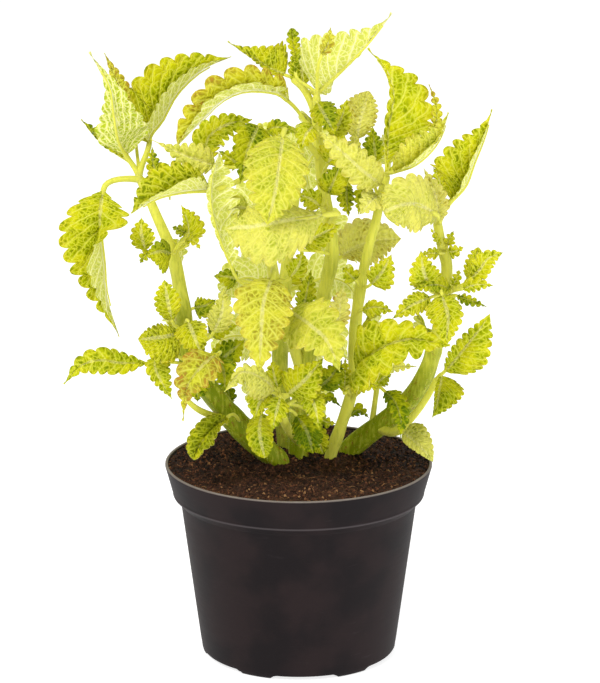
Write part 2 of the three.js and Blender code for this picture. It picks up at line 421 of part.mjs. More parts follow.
// A folded blade: midrib points, and on each side a notch and a tooth between them in turn
function bladeSolid(rib, halves, turn, fold, shape = usualShape) {
  const [, , toothShare = 1] = shape;
  const path = pathThrough(rib);
  const teeth = THREE.MathUtils.clamp(Math.round(path.getLength() / toothSpacing), 2, 5);
  const chord = new THREE.Vector3().subVectors(rib[rib.length - 1], rib[0]);
  const toEye = new THREE.Vector3().subVectors(eye, rib[0]).normalize();
  const aside = new THREE.Vector3().crossVectors(chord, toEye).normalize();
  const layers = [[], []];
  const put = (u, side, reach) => {
    const tangent = path.getTangent(u);
    const across = aside.clone().addScaledVector(tangent, -aside.dot(tangent)).normalize();
    const roll = THREE.MathUtils.degToRad(valueAt(turn, u));
    const lift = THREE.MathUtils.degToRad(valueAt(fold, u));
    across.applyAxisAngle(tangent, roll);
    const up = new THREE.Vector3().crossVectors(across, tangent);
    const out = across.clone().multiplyScalar(side * Math.cos(lift)).addScaledVector(up, Math.sin(lift));
    const normal = up.clone().multiplyScalar(Math.cos(lift)).addScaledVector(across, -side * Math.sin(lift));
    const onBlade = path.getPoint(u).addScaledVector(out, reach);
    const through = side === 0 ? up : normal;
    layers[0].push(onBlade.clone().addScaledVector(through, bladeThickness / 2));
    layers[1].push(onBlade.clone().addScaledVector(through, -bladeThickness / 2));
    return layers[0].length - 1;
  };
  const half = (u, side, tooth) => {
    return fullness * halves[side > 0 ? 0 : 1] * outline(u, shape) * (1 + tooth * toothShare);
  };
  const midrib = Array.from({ length: teeth + 1 }, (_, i) => put(i / teeth, 0, 0));
  const faces = [];
  const edge = [];
  for (const side of [1, -1]) {
    const rim = [midrib[0]];
    for (let i = 0; i < teeth; i++) {
      const tip = (i + 0.6) / teeth;
      const tooth = put(tip, side, half(tip, side, toothDepth));
      const next = (i + 1) / teeth;
      const notch = i === teeth - 1 ? midrib[teeth] : put(next, side, half(next, side, -toothDepth));
      const from = rim[rim.length - 1];
      const fan = [[midrib[i], tooth, midrib[i + 1]]];
      if (i > 0) fan.push([midrib[i], from, tooth]);
      if (i < teeth - 1) fan.push([midrib[i + 1], tooth, notch]);
      faces.push(...fan.map((f) => (side > 0 ? f : [f[0], f[2], f[1]])));
      rim.push(tooth, notch);
    }
    edge.push(side > 0 ? rim : rim.toReversed());
  }
  const loop = [...edge[0], ...edge[1].slice(1, -1)];
  const lower = layers[0].length;
  const all = [...faces, ...faces.map(([a, b, c]) => [a + lower, c + lower, b + lower])];
  loop.forEach((a, i) => {
    const b = loop[(i + 1) % loop.length];
    all.push([b, a, a + lower], [b, a + lower, b + lower]);
  });
  return solidOf(meshFrom(layers.flat(), all));
}

// Petiole from the branch to the blade, running on under the midrib till it is lost in the blade
function petioleSolid(start, rib, halves) {
  const path = pathThrough(rib);
  const into = path.getTangent(0);
  const reach = start.distanceTo(rib[0]) / 3;
  const leave = start.clone().lerp(rib[0], 0.33).add(new THREE.Vector3(0, 0, reach * 0.4));
  const bend = rib[0].clone().addScaledVector(into, -reach);
  const stalk = new THREE.CubicBezierCurve3(start, leave, bend, rib[0]);
  const points = [stalk.getPoint(0), stalk.getPoint(0.55), rib[0], path.getPoint(0.16)];
  const thick = THREE.MathUtils.clamp((halves[0] + halves[1]) / 22, 0.75, 1.35);
  const radiusAt = (t) => (t < 0.67 ? thick : THREE.MathUtils.lerp(thick, 0.3, 3 * t - 2));
  return taperedTube(pathThrough(points), radiusAt, 3, petioleSides);
}

function leafyStem({ branches, leaves }) {
  const solids = Object.values(branches).map(branchSolid);
  for (const [branch, height, points, halves, ...form] of leaves) {
    const rib = points.map(place);
    const start = pointAtHeight(branches[branch], height);
    solids.push(petioleSolid(start, rib, halves), bladeSolid(rib, halves, ...form));
  }
  return wasm.Manifold.union(solids);
}

function turned(profile, sides) {
  const points = profile.map(([r, z]) => new THREE.Vector2(r, z));
  return solidOf(new THREE.LatheGeometry(points, sides).rotateX(Math.PI / 2));
}

const collarFoot = potHeight - collarHeight;
const shoulderFoot = collarFoot - shoulderDrop;
const floorTop = footRise + wall;

// Inner radius of the pot's wall at a height
function insideRadius(z) {
  const outside = z >= collarFoot
    ? THREE.MathUtils.mapLinear(z, collarFoot, potHeight, collarFootRadius, rimRadius)
    : THREE.MathUtils.mapLinear(z, heelHeight, shoulderFoot, bodyFootRadius, bodyTopRadius);
  return outside - wall;
}

function potSolid() {
  const footInside = bodyFootRadius - 1.5 - footWidth;
  const profile = [
    [0, 0], [padRadius, 0], [padRadius + 2, footRise], [footInside - 1, footRise], [footInside, 0],
    [footInside + footWidth, 0], [bodyFootRadius, heelHeight], [bodyTopRadius, shoulderFoot],
    [collarFootRadius, collarFoot], [rimRadius - 0.4, potHeight - 1.5], [rimRadius, potHeight - 0.5],
    [rimRadius - 0.6, potHeight], [rimRadius - wall, potHeight - 0.4],
    [insideRadius(collarFoot), collarFoot], [insideRadius(shoulderFoot), shoulderFoot],
    [insideRadius(heelHeight + 2), heelHeight + 2], [footInside - 0.5, floorTop], [0, floorTop],
  ];
  let pot = turned(profile, potSides);
  for (let i = 0; i < footCount; i++) {
    const angle = (2 * Math.PI * i) / footCount - Math.PI / 2 + THREE.MathUtils.degToRad(footTurn);
    const gap = new THREE.BoxGeometry(14, footGapWidth, 2 * footRise);
    gap.translate(bodyFootRadius - 3, 0, 0).rotateZ(angle);
    const drain = new THREE.CylinderGeometry(drainRadius, drainRadius, 4 * floorTop, 12).rotateX(Math.PI / 2);
    drain.translate(drainCircle, 0, 0).rotateZ(angle);
    pot = pot.subtract(solidOf(gap)).subtract(solidOf(drain));
  }
  return pot;
}

// Height of the lumpy top of the soil
function soilTop(x, y) {
  const out = Math.hypot(x, y) / rimRadius;
  const lumps = Math.sin(x * 0.21 + 1) * Math.cos(y * 0.17) + 0.6 * Math.sin(x * 0.11 - y * 0.29);
  return potHeight - soilCrown - (soilEdgeDrop - soilCrown) * out ** 2 + soilLump * lumps * (1 - out ** 4);
}

function soilSolid() {
  const soilFloor = floorTop + soilGap;
  const edgeHeight = potHeight - soilEdgeDrop;
  const profile = [
    [0, soilFloor], [bodyFootRadius - 5.5, soilFloor],
    [insideRadius(heelHeight + 2) - soilGap, heelHeight + 2.2],
    [insideRadius(shoulderFoot) - soilGap, shoulderFoot],
    [insideRadius(collarFoot) - 2 * soilGap, collarFoot + soilGap],
    [insideRadius(edgeHeight) - soilGap, edgeHeight], ...soilRings.toReversed().map((r) => [r, potHeight]),
  ];
  const geometry = new THREE.LatheGeometry(profile.map(([r, z]) => new THREE.Vector2(r, z)), soilSides);
  geometry.rotateX(Math.PI / 2);
  const corners = geometry.attributes.position;
  for (let i = 0; i < corners.count; i++) {
    if (corners.getZ(i) > potHeight - 0.01) corners.setZ(i, soilTop(corners.getX(i), corners.getY(i)));
  }
  let soil = solidOf(geometry);
  for (const { hole: [x, depth, radius] } of Object.values(stems)) {
    const bore = new THREE.CylinderGeometry(radius + holeGap, radius + holeGap, 60, 12).rotateX(Math.PI / 2);
    const mouth = place([x, potHeight, depth]);
    bore.translate(mouth.x, mouth.y, potHeight + 5);
    soil = soil.subtract(solidOf(bore));
  }
  return soil;
}

const potPlastic = new THREE.MeshStandardMaterial({ color: 0x2d2b2e, roughness: 0.5 });
const pottingSoil = new THREE.MeshStandardMaterial({ color: 0x3a2218, roughness: 1 });
const foliage = new THREE.MeshStandardMaterial({ color: 0xc4cc33, roughness: 0.6 });

function piece(name, solid, material) {
  const mesh = new THREE.Mesh(geometryOf(solid), material.clone());
  mesh.name = name;
  return mesh;
}

const coleus = new THREE.Group();
coleus.add(piece("pot", potSolid(), potPlastic), piece("soil", soilSolid(), pottingSoil));
for (const [name, stem] of Object.entries(stems)) {
  coleus.add(piece(name, leafyStem(stem), foliage));
}

export default coleus;
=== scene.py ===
# Coleus in a nursery pot. The tables are in millimetres and degrees, Blender's meshes in metres.
import bpy
import numpy as np
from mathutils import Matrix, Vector, noise


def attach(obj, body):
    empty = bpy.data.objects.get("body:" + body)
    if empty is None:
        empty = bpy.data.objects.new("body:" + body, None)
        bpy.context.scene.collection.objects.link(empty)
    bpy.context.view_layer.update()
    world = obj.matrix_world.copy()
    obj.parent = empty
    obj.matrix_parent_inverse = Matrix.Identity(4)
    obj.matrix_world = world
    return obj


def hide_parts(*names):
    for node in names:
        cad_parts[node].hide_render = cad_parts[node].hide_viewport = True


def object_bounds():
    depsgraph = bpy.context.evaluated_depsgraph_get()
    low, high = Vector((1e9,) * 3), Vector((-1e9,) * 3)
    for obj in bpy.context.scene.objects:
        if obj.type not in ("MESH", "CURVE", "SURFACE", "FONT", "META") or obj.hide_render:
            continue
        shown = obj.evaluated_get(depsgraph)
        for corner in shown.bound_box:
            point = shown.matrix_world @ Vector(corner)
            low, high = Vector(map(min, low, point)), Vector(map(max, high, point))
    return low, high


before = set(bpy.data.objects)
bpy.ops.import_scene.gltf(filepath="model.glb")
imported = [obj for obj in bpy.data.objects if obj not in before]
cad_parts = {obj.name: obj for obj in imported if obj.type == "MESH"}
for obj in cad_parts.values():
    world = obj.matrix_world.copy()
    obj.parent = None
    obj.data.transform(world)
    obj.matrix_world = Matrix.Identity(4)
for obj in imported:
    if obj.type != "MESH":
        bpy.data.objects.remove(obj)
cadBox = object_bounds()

mm = 0.001
seed = 7  # another number gives other lobes, crinkles and soil


def linear(red, green, blue):  # screen colour 0-255 to Blender's linear colour
    screen = np.array([red, green, blue]) / 255
    value = np.where(screen <= 0.04045, screen / 12.92, ((screen + 0.055) / 1.055) ** 2.4)
    return (*(float(v) for v in value), 1.0)


def smooth(low, high, value):
    share = np.clip((value - low) / (high - low), 0, 1)
    return share * share * (3 - 2 * share)


class Wire:  # one output socket; an expression on it adds its nodes
    def __init__(self, tree, socket):
        self.tree, self.socket = tree, socket

    def maths(self, operation, *values, clamp=False):
        settings = {"operation": operation, "use_clamp": clamp}
        sockets = {f"n{k}": value for k, value in enumerate(values)}
        return Board(self.tree).node("ShaderNodeMath", settings, **sockets)

    def __add__(self, other): return self.maths("ADD", self, other)
    def __radd__(self, other): return self.maths("ADD", other, self)
    def __sub__(self, other): return self.maths("SUBTRACT", self, other)
    def __rsub__(self, other): return self.maths("SUBTRACT", other, self)
    def __mul__(self, other): return self.maths("MULTIPLY", self, other)
    def __rmul__(self, other): return self.maths("MULTIPLY", other, self)
    def __pow__(self, other): return self.maths("POWER", self, other)
    def __abs__(self): return self.maths("ABSOLUTE", self)
    def clamp(self): return self.maths("MULTIPLY", self, 1, clamp=True)
    def most(self, other): return self.maths("MAXIMUM", self, other)
    def fraction(self): return self.maths("FRACT", self)
    def above(self, limit): return self.maths("GREATER_THAN", self, limit)

    def ramp(self, low, high):  # 0 at low, 1 at high, smooth between
        return Board(self.tree).node("ShaderNodeMapRange", {"interpolation_type": "SMOOTHSTEP"},
                                     n0=self, n1=low, n2=high)

    def out(self, output):  # another output of the same node
        return Wire(self.tree, self.socket.node.outputs[output])


class Board:  # a node tree, and the one way nodes are added to it
    def __init__(self, tree):
        self.tree = tree

    def node(self, kind, settings=None, output=0, **sockets):
        # a socket is given by its name, with _ for spaces, or as n and its number
        node = self.tree.nodes.new(kind)
        for key, value in (settings or {}).items():
            setattr(node, key, value)
        for key, value in sockets.items():
            slot = int(key[1:]) if key[1:].isdigit() else key.replace("_", " ")
            self.feed(node.inputs[slot], value)
        return Wire(self.tree, node.outputs[output])

    def feed(self, slot, value):
        if isinstance(value, Wire):
            self.tree.links.new(value.socket, slot)
        else:
            slot.default_value = value

    def parts(self, vector):
        split = self.node("ShaderNodeSeparateXYZ", n0=vector)
        return [split.out(axis) for axis in range(3)]


class Finish(Board):  # a material
    def __init__(self, name):
        self.material = bpy.data.materials.new(name)
        self.material.use_nodes = True
        super().__init__(self.material.node_tree)
        self.shader = self.tree.nodes["Principled BSDF"]

    def set(self, **sockets):
        for key, value in sockets.items():
            self.feed(self.shader.inputs[key.replace("_", " ")], value)

    def mix(self, share, low, high):
        return self.node("ShaderNodeMix", {"data_type": "RGBA"}, 2, n0=share, n6=low, n7=high)

    def cloud(self, vector, scale, detail=2, roughness=0.5, flat=False, output=0):
        settings = {"noise_dimensions": "2D"} if flat else None
        return self.node("ShaderNodeTexNoise", settings, output,
                         Vector=vector, Scale=scale, Detail=detail, Roughness=roughness)

    def marks(self, name, output):  # an attribute of the mesh
        return self.node("ShaderNodeAttribute", {"attribute_name": name}, output)

    def bump(self, height, depth, strength):
        self.set(Normal=self.node("ShaderNodeBump", Height=height, Distance=depth, Strength=strength))


class Recipe(Board):  # a geometry tree whose sizes are named inputs
    kinds = {int: "NodeSocketInt", float: "NodeSocketFloat"}

    def __init__(self, name, sizes):
        super().__init__(bpy.data.node_groups.new(name, "GeometryNodeTree"))
        face = self.tree.interface
        face.new_socket("Geometry", in_out="INPUT", socket_type="NodeSocketGeometry")
        face.new_socket("Geometry", in_out="OUTPUT", socket_type="NodeSocketGeometry")
        self.sizes = sizes
        self.slots = {title: face.new_socket(title, in_out="INPUT", socket_type=self.kinds[type(value)])
                      for title, value in sizes.items()}
        self.given = self.node("NodeGroupInput", output="Geometry")

    def size(self, title):
        return self.given.out(title)

    def joined(self, *geometries):
        join = self.node("GeometryNodeJoinGeometry")
        for geometry in geometries:
            self.tree.links.new(geometry.socket, join.socket.node.inputs[0])
        return join

    def chance(self, limits, number):  # one value or vector for each point; another number gives others
        if isinstance(limits[0], tuple):
            return self.node("FunctionNodeRandomValue", {"data_type": "FLOAT_VECTOR"},
                             n0=limits[0], n1=limits[1], Seed=number)
        return self.node("FunctionNodeRandomValue", {"data_type": "FLOAT"}, 1,
                         n2=limits[0], n3=limits[1], Seed=number)

    def painted(self, geometry, material):
        return self.node("GeometryNodeSetMaterial", Geometry=geometry, Material=material)

    def grow(self, piece, geometry, material=None):  # ends the tree and leaves the piece a plain mesh
        plain = self.node("GeometryNodeRealizeInstances", Geometry=geometry)
        if material:
            plain = self.painted(plain, material)
        self.tree.links.new(plain.socket, self.tree.nodes.new("NodeGroupOutput").inputs[0])
        grown = piece.modifiers.new(self.tree.name, "NODES")
        grown.node_group = self.tree
        for title, slot in self.slots.items():
            grown[slot.identifier] = self.sizes[title]
        depsgraph = bpy.context.evaluated_depsgraph_get()
        mesh = bpy.data.meshes.new_from_object(piece.evaluated_get(depsgraph), depsgraph=depsgraph)
        piece.modifiers.remove(grown)
        piece.data = mesh


# A branch is rows of x, height, depth and radius, from the soil up. A leaf is its look, its branch,
# the height that it leaves at, the rows of x, height and depth of its midrib, the widths of its two
# halves, how far it is turned and folded up, and its form where that isn't the common one. One number
# stands for both halves; a turn or fold of more numbers changes from the base to the tip.
stems = {
    "stem_left": {
        "branches": {
            "main": [(-10, 76, -3, 5.2), (-10, 95, -3, 5.4), (-16, 101.5, -5, 5.5), (-28, 113, -8, 5.2),
                (-41, 129, -11, 4.6), (-53, 147, -12, 4), (-56, 175, -10, 3.4), (-60, 198, -8, 2.6),
                (-68.5, 220, -6, 2.2), (-76, 238, -5, 1.7)],
            "shoot": [(-28, 115, -8, 2), (-42, 119, -15, 1.7), (-50, 123, -19, 1.5),
                (-58, 131, -21, 1.2)],
        },
        "leaves": [
            ("under", "main", 237, [(-82, 248, -4), (-85.5, 255, -8), (-87.3, 266, -10),
                (-89.3, 281, -8), (-98.8, 297.5, -2)], (11.3, 15), 160, (25, 30), (0.26, 1.9, 0.5)),
            ("dark", "main", 237, [(-83, 246.5, 5), (-93, 253.5, 9), (-103, 265, 13)], (6, 1.2), 30, 30,
                (0.4, 1.5)),
            ("lime", "main", 238, [(-70.9, 253.5, -1), (-70.3, 257.5, 0), (-64.8, 264.5, 4),
                (-57.8, 277, 8), (-46, 288.3, 12), (-31.7, 295.2, 16)], (9.5, 21.8), (-50, -53),
                (76, 74), (0.42, 1.5)),
            ("lime", "main", 236, [(-93, 231, -7), (-94.5, 221, -8.5), (-94.5, 209, -10),
                (-93.2, 195, -12), (-92.2, 180, -13), (-86.5, 158.5, -13)], (19, 17),
                (0, 4, 32, 46, 46, 46), (10, 18, 54, 76, 76, 76), (0.42, 1.5)),
            ("lime", "main", 200, [(-73.5, 201.5, -6), (-75.3, 210, -5), (-75, 217.5, -3)], (5.7, 5), 0,
                15),
            ("dark", "main", 200, [(-71, 201, -10), (-74, 198.5, -12), (-76, 195, -13)], 2.2, 0, 15),
            ("dark", "main", 199, [(-61.5, 200, -14), (-67, 201, -17), (-73.5, 199, -19)], (5, 10), 0,
                10),
            ("lime", "main", 199, [(-53, 206, -8), (-53, 214, -7), (-56, 223.5, -5)], (8, 2.5), 0, 20),
            ("dark", "main", 199, [(-54, 210, -12), (-57, 211.5, -14), (-60.5, 213, -15)], 2.5, 0, 20),
            ("lime", "main", 199, [(-54, 206, -14), (-50, 206, -17), (-47, 202, -18)], 2, 0, 20),
            ("lime", "main", 196, [(-58, 202, 2), (-57, 206, 12), (-56, 203, 22), (-56, 195, 27)], 5,
                180, (10, 20)),
            ("lime", "main", 160, [(-61, 167, -16), (-63, 177, -18), (-64.5, 187, -18)], (5.5, 6), 0, 15,
                (0.45, 1.1)),
            ("mottled", "main", 160, [(-57, 161, -18), (-66, 158.5, -25), (-77.5, 157.5, -29)],
                (5.8, 12), 0, (10, 15), (0.55, 0.9)),
            ("mottled", "main", 158, [(-53, 166, -19), (-50, 158, -25), (-46, 148, -27)], (8, 6.5), 0,
                (10, 15)),
            ("dark", "main", 168, [(-50, 173, -10), (-45, 174, -10), (-40, 177, -8)], (6.5, 4.5), -20,
                25, (0.3, 1.2)),
            ("lime", "main", 144, [(-73, 145.5, -16), (-86, 145.5, -19), (-97, 146.8, -21),
                (-105.5, 144, -21), (-113.5, 135, -21)], (6, 6.3), 0, (15, 20), (0.43, 1.4, 0.6)),
            ("lime", "main", 145, [(-68, 149, -20), (-69.5, 143, -25), (-66, 135, -27),
                (-61.5, 127.5, -27)], (4, 7), 0, (10, 20), (0.3, 1.2)),
            ("rosy", "main", 138, [(-39, 150, -24), (-46, 144.5, -31), (-52.5, 136, -34),
                (-55, 127, -35), (-55.9, 116.5, -34)], 9, (0, 30), (10, 40), (0.32, 2.3)),
            ("dark", "main", 132, [(-40, 145, -8), (-33, 151, -8), (-26, 157, -6)], 6.5, 0, 15),
            ("dark", "main", 134, [(-47, 139, -17), (-49, 132, -20), (-49, 126, -21)], 5, 0, 15),
            ("pale", "main", 150, [(-41, 161, -16), (-37, 171, -18), (-36, 183, -16)], 5.5, 0, (10, 20)),
            ("dark", "main", 152, [(-43, 160, -8), (-38, 162.5, -10), (-29, 164.5, -8)], (4.5, 4), 10,
                15),
            ("mottled", "main", 150, [(-55, 158, 2), (-57, 165, 14), (-58, 161, 28), (-58, 151, 34)], 9,
                180, (10, 20)),
            ("lime", "main", 130, [(-42, 140, -2), (-43, 147, 10), (-44, 144, 22), (-44, 135, 28)], 8,
                180, (10, 20)),
            ("mottled", "main", 234, [(-72, 236, 4), (-67, 238, 16), (-63, 234, 28), (-61, 226, 34)], 6,
                180, (10, 20)),
            ("dark", "main", 130, [(-39, 148, -20), (-36, 140, -23), (-36, 130, -24)], 5.5, 0, 15),
            ("dark", "main", 118, [(-33, 125, -3), (-34, 131, -2), (-36, 138, -2)], 3.2, 0, 15),
            ("rosy", "main", 237, [(-80, 266, 8), (-84, 279, 9), (-91.5, 297, 10)], (5.5, 3.5), 0, 20,
                (0.3, 1.3, 0.6)),
            ("mottled", "main", 112, [(-35, 118, -19), (-43, 110.5, -24), (-48, 103.5, -27),
                (-51, 96.5, -29)], (8, 8.5), 20, (46, 50), (0.5, 0.5, 0.5)),
            ("lime", "main", 107, [(-18, 120, -20), (-19, 110, -26), (-16.5, 97.5, -29)], 6, 0, (8, 15),
                (0.5, 0.55, 0.5)),
            ("dark", "main", 234, [(-66, 236, -8), (-69, 243, -9), (-69.5, 252, -8)], (3.8, 3.4), 0, 15),
        ],
    },
    "stem_centre": {
        "branches": {
            "main": [(0, 76, 4, 4.4), (0, 96, 4, 4.6), (0, 120, 3, 4.2), (5, 150, 0, 3.6),
                (12, 180, -3, 3), (16, 200, -4, 2.9), (14, 218, -4, 2.6), (11, 237, -4, 2.3),
                (9, 258, -4, 2), (8.5, 278, -4, 1.6)],
            "left": [(3, 136, 2, 2.8), (-3, 156, -2, 2.6), (-9, 175, -6, 2.4), (-13, 196, -9, 2.2),
                (-15, 218, -10, 2), (-16, 240, -10, 1.7), (-16, 256, -9, 1.3)],
            "star": [(0, 106, 3, 2.4), (-5, 112, -12, 2.2), (-8, 120, -22, 1.9), (-9, 130, -26, 1.5)],
            "arm": [(8.5, 260, -4, 1.7), (7, 270, -3, 1.7), (2.8, 279, -1, 1.6), (-3, 285, 3, 1.4)],
        },
        "leaves": [
            ("rosy", "main", 250, [(-4.8, 273.8, -3), (-9, 277.2, -5), (-17, 278.7, -8),
                (-27, 278.2, -12), (-37, 273.3, -15), (-46, 264.2, -17), (-57, 252.8, -18)], (11.4, 7.5),
                (38, 40, 44, 54, 44), (62, 64, 68, 74, 60), (0.59, 0.55)),
            ("mottled", "arm", 284, [(-6.5, 286.5, 6), (-14.5, 289.7, 8), (-21.5, 294.5, 10),
                (-33.4, 302.3, 12)], (13.3, 4), 30, (30, 40), (0.26, 1.8)),
            ("pale", "main", 277, [(9.3, 278.6, -3), (20, 288.5, 1), (32.6, 301.6, 6), (44, 316.3, 11)],
                (21.3, 9), (220, 225), (40, 45), (0.25, 1.9)),
            ("dark", "main", 277, [(-1.5, 287.5, -6), (-1.3, 295, -6), (-2.7, 302, -6),
                (-3.2, 308.8, -5)], (3.2, 2.6), 0, 30, (0.72, 0.5)),
            ("rosy", "main", 277, [(11, 296, -7), (14, 302, -7), (15, 309, -6)], 3, 0, 30),
            ("dark", "main", 268, [(9, 273, -10), (13, 266, -15), (18, 257, -17)], (5.5, 6), 0, 15),
            ("lime", "main", 252, [(7, 262, -14), (3, 257, -19), (1, 250, -21)], 5, 0, 10),
            ("mottled", "main", 250, [(8, 256, 6), (6, 261, 16), (3, 258, 28), (1, 250, 34)], 8, 180,
                (10, 20)),
            ("bright", "main", 246, [(-7.5, 257.5, -22), (-9, 245, -30), (-11, 231, -35),
                (-15, 214, -37)], (15, 12.5), 0, (10, 15), (0.45, 0.95)),
            ("dark", "main", 220, [(14, 229.5, -13), (17, 236, -15), (20, 244, -13)], 6.5, 0, 20),
            ("lime", "main", 198, [(2, 204, -20), (10, 209, -22), (20, 214, -19)], 6, 0, 15),
            ("pale", "main", 212, [(14, 219, -25), (-6, 216, -31), (-22, 213, -34), (-35, 212, -33)],
                (13, 18), 22, (-20, -15), (0.5, 1.1)),
            ("dark", "main", 168, [(2, 172, -14), (4, 181, -15), (6, 192, -13)], 4.5, 0, 20),
            ("bright", "main", 158, [(-4, 171, -22), (6, 164, -32), (14, 156, -38), (20, 141, -41)], 13,
                0, (12, 20)),
            ("cream", "main", 193, [(20, 198, 5), (28, 203, 9), (38, 206, 12), (49, 207, 13)], (11, 13),
                -25, 8, (0.45, 1)),
            ("mottled", "left", 238, [(-42, 231, -24), (-55, 230, -26), (-67, 227, -26),
                (-79.7, 219.5, -24)], (14, 12), (56, 46, 40, 40), (84, 66, 54, 52), (0.42, 1.1)),
            ("pale", "left", 240, [(-40, 243, -18), (-55, 248.3, -19), (-70, 255.5, -16)], (7, 6.5), 0,
                20, (0.25, 2.2)),
            ("lime", "left", 246, [(-42, 245, -10), (-43, 255, -10), (-35, 262, -9), (-22, 265, -7)],
                (8.5, 7.2), -20, 20, (0.4, 1.1)),
            ("dark", "left", 254, [(-19, 262, -13), (-23.5, 252, -18), (-28, 234, -20)], (8.3, 8.5), 0,
                20),
            ("dark", "left", 254, [(-15, 260, -14), (-9, 261.5, -18), (-1, 258.5, -20)], (4, 3.5), 0,
                20),
            ("bright", "left", 216, [(-24, 222, -19), (-30, 222, -22), (-37, 217, -23)], (5.5, 5), 0,
                10),
            ("pale", "left", 178, [(-31, 190, -22), (-38, 208, -26), (-42, 225, -27), (-41, 238, -26),
                (-37.5, 249, -25)], (1.5, 12.5), 184, (24, 30), (0.5, 1.1)),
            ("dark", "left", 182, [(-29.5, 187, -8), (-34, 188.5, -9), (-41, 188.8, -10)], (4, 5.5), 0,
                20),
            ("flushed", "left", 190, [(-13, 187, -28), (-17, 175, -35), (-18, 160, -40),
                (-19, 141, -41)], (12.5, 13), 0, (8, 12), (0.34, 1.1)),
            ("pale", "star", 129, [(-12, 133, -27), (-20, 139, -31), (-28, 141, -34), (-36, 131, -36)],
                (3.5, 11), 0, (10, 15)),
            ("lime", "star", 129, [(-10, 133, -26), (-12, 140, -26), (-12.5, 147, -24)], 4.5, 0, 20),
            ("lime", "star", 129, [(-9, 128, -30), (-11, 120, -35), (-13, 111, -37)], 5, 0, 10),
            ("lime", "star", 129, [(-5, 130, -28), (3, 137, -31), (12, 148, -31)], (9.5, 9), 0,
                (10, 20)),
            ("lime", "star", 127, [(4, 133, -28), (8, 123, -34), (10, 112, -37)], 5, 0, 10),
            ("dark", "star", 122, [(2, 129, -18), (8, 134, -18), (14, 138, -16)], 5, 0, 20),
            ("lime", "main", 236, [(14, 244, -12), (18, 251, -15), (22, 258, -15)], (6, 7), 0, 15),
            ("lime", "main", 228, [(18, 231, 1), (22, 239, 1), (25, 249, 2)], 5.5, 0, 15),
            ("dark", "star", 127, [(11, 134, -20), (16, 139, -23), (21, 147, -23)], 6, 0, 15),
            ("cream", "main", 166, [(18, 163, -14), (20, 173, -16), (21, 184, -15)], (5, 6), 0, 15),
            ("mottled", "main", 256, [(16, 257, -8), (20, 265, -9), (23, 275, -8)], 5.5, 0, 15),
            ("lime", "main", 222, [(10, 223, -12), (5, 227, -15), (-1, 229, -16)], 5, 0, 15),
            ("mottled", "main", 276, [(3, 281, 2), (1.5, 289, 3), (1.5, 300, 4)], (3.6, 6), 0, 15,
                (0.5, 0.7)),
            ("lime", "left", 186, [(-4, 188, -14), (0, 194, -15), (2, 202, -14)], 4.5, 0, 15),
            ("dark", "left", 240, [(-28, 243, -12), (-32, 246, -14), (-38, 250, -14)], 4, 0, 15),
            ("lime", "star", 128, [(-14, 130, -29), (-18.5, 126, -32), (-21.5, 116.5, -33)], (7, 5), 0,
                15),
            ("dark", "main", 110, [(8, 122, 2), (14, 128, 3), (20.5, 123.5, 4)], (2, 3), 0, 20),
            ("dark", "star", 122, [(-1, 119, -18), (4, 111, -22), (7, 100, -22)], 6.5, 0, (12, 20),
                (0.5, 0.8)),
            ("dark", "main", 228, [(23, 233, -6), (23, 226, -8), (24, 218, -9)], (4.8, 3.6), 0, 20),
            ("pale", "main", 240, [(24, 241, -6), (26, 250, -7), (27, 260, -6)], (4, 5), 0, 15),
            ("lime", "star", 124, [(9, 118.5, -10), (13, 116, -11), (18, 115, -11)], (3, 2.5), 0, 15),
            ("mottled", "main", 108, [(5, 115, -7), (9, 108, -10), (12, 99.5, -11)], (5.5, 5), 0,
                (10, 16), (0.5, 0.7, 0.7)),
        ],
    },
    "stem_mid_right": {
        "branches": {
            "main": [(15, 76, 1, 2.7), (15, 96, 1, 2.8), (20, 112, -1, 2.6), (26, 133, -3, 2.4),
                (27, 160, -4, 2.5), (30, 185, -5, 2.4), (34, 205, -6, 2.2), (37, 216, -6, 2.1),
                (39, 227, -6, 1.9), (42, 239, -6, 1.7)],
        },
        "leaves": [
            ("cream", "main", 236, [(28, 256, 1), (29, 264, 3), (31, 271, 5), (33.2, 278.8, 6)],
                (7, 9.5), 0, (10, 15), (0.45, 0.75)),
            ("lime", "main", 239, [(42, 242, -8), (41.5, 258, -7), (44.2, 277, -4), (40.5, 289.5, -1),
                (32.3, 299, 1)], (18.8, 3), (30, 35), (28, 35), (0.37, 3.2)),
            ("bright", "main", 238, [(45.5, 239.8, -14), (55, 243, -17), (63.5, 250.5, -17),
                (68, 258, -16), (71, 268.5, -14)], (8, 12), -40, 64),
            ("rosy", "main", 238, [(62.5, 257, -8), (65.3, 265, -6), (64.8, 273, -4), (61.5, 282, -2)],
                (2.4, 2.2), 0, 25),
            ("lime", "main", 237, [(43, 244, 3), (41, 254, 14), (40, 257, 26), (40, 250, 34)], 8, 180,
                (10, 20)),
            ("pale", "main", 228, [(39, 234, -17), (31, 240, -22), (20, 250, -26), (9, 260, -26)], 7.5,
                0, 15),
            ("pale", "main", 226, [(37, 228, -16), (34, 225, -21), (29, 219, -24)], 6, 0, 20),
            ("dark", "main", 225, [(34, 233, -10), (30, 228, -13), (28.5, 219, -15)], 4, 0, 30),
            ("lime", "main", 181, [(35, 185, -10), (40, 191, -12), (44.5, 199.5, -12)], (7.5, 5.5), 0,
                20),
            ("dark", "main", 181, [(27, 187, -10), (24, 190, -13), (21, 193, -14)], 4, 0, 25),
            ("lime", "main", 164, [(31, 172, -8), (38, 173.5, -12), (45.5, 171, -12)], (4.6, 3.2), 0,
                20),
            ("lime", "main", 131, [(29, 141, -16), (38, 151, -24), (53, 157, -31), (73, 154, -33)],
                (22, 12.3), (-20, -25), (30, 35), (0.34, 1.15)),
            ("pale", "main", 133, [(39, 142.5, -7), (47, 143.5, -8), (57, 143.8, -8)], 2.5, 0, 20),
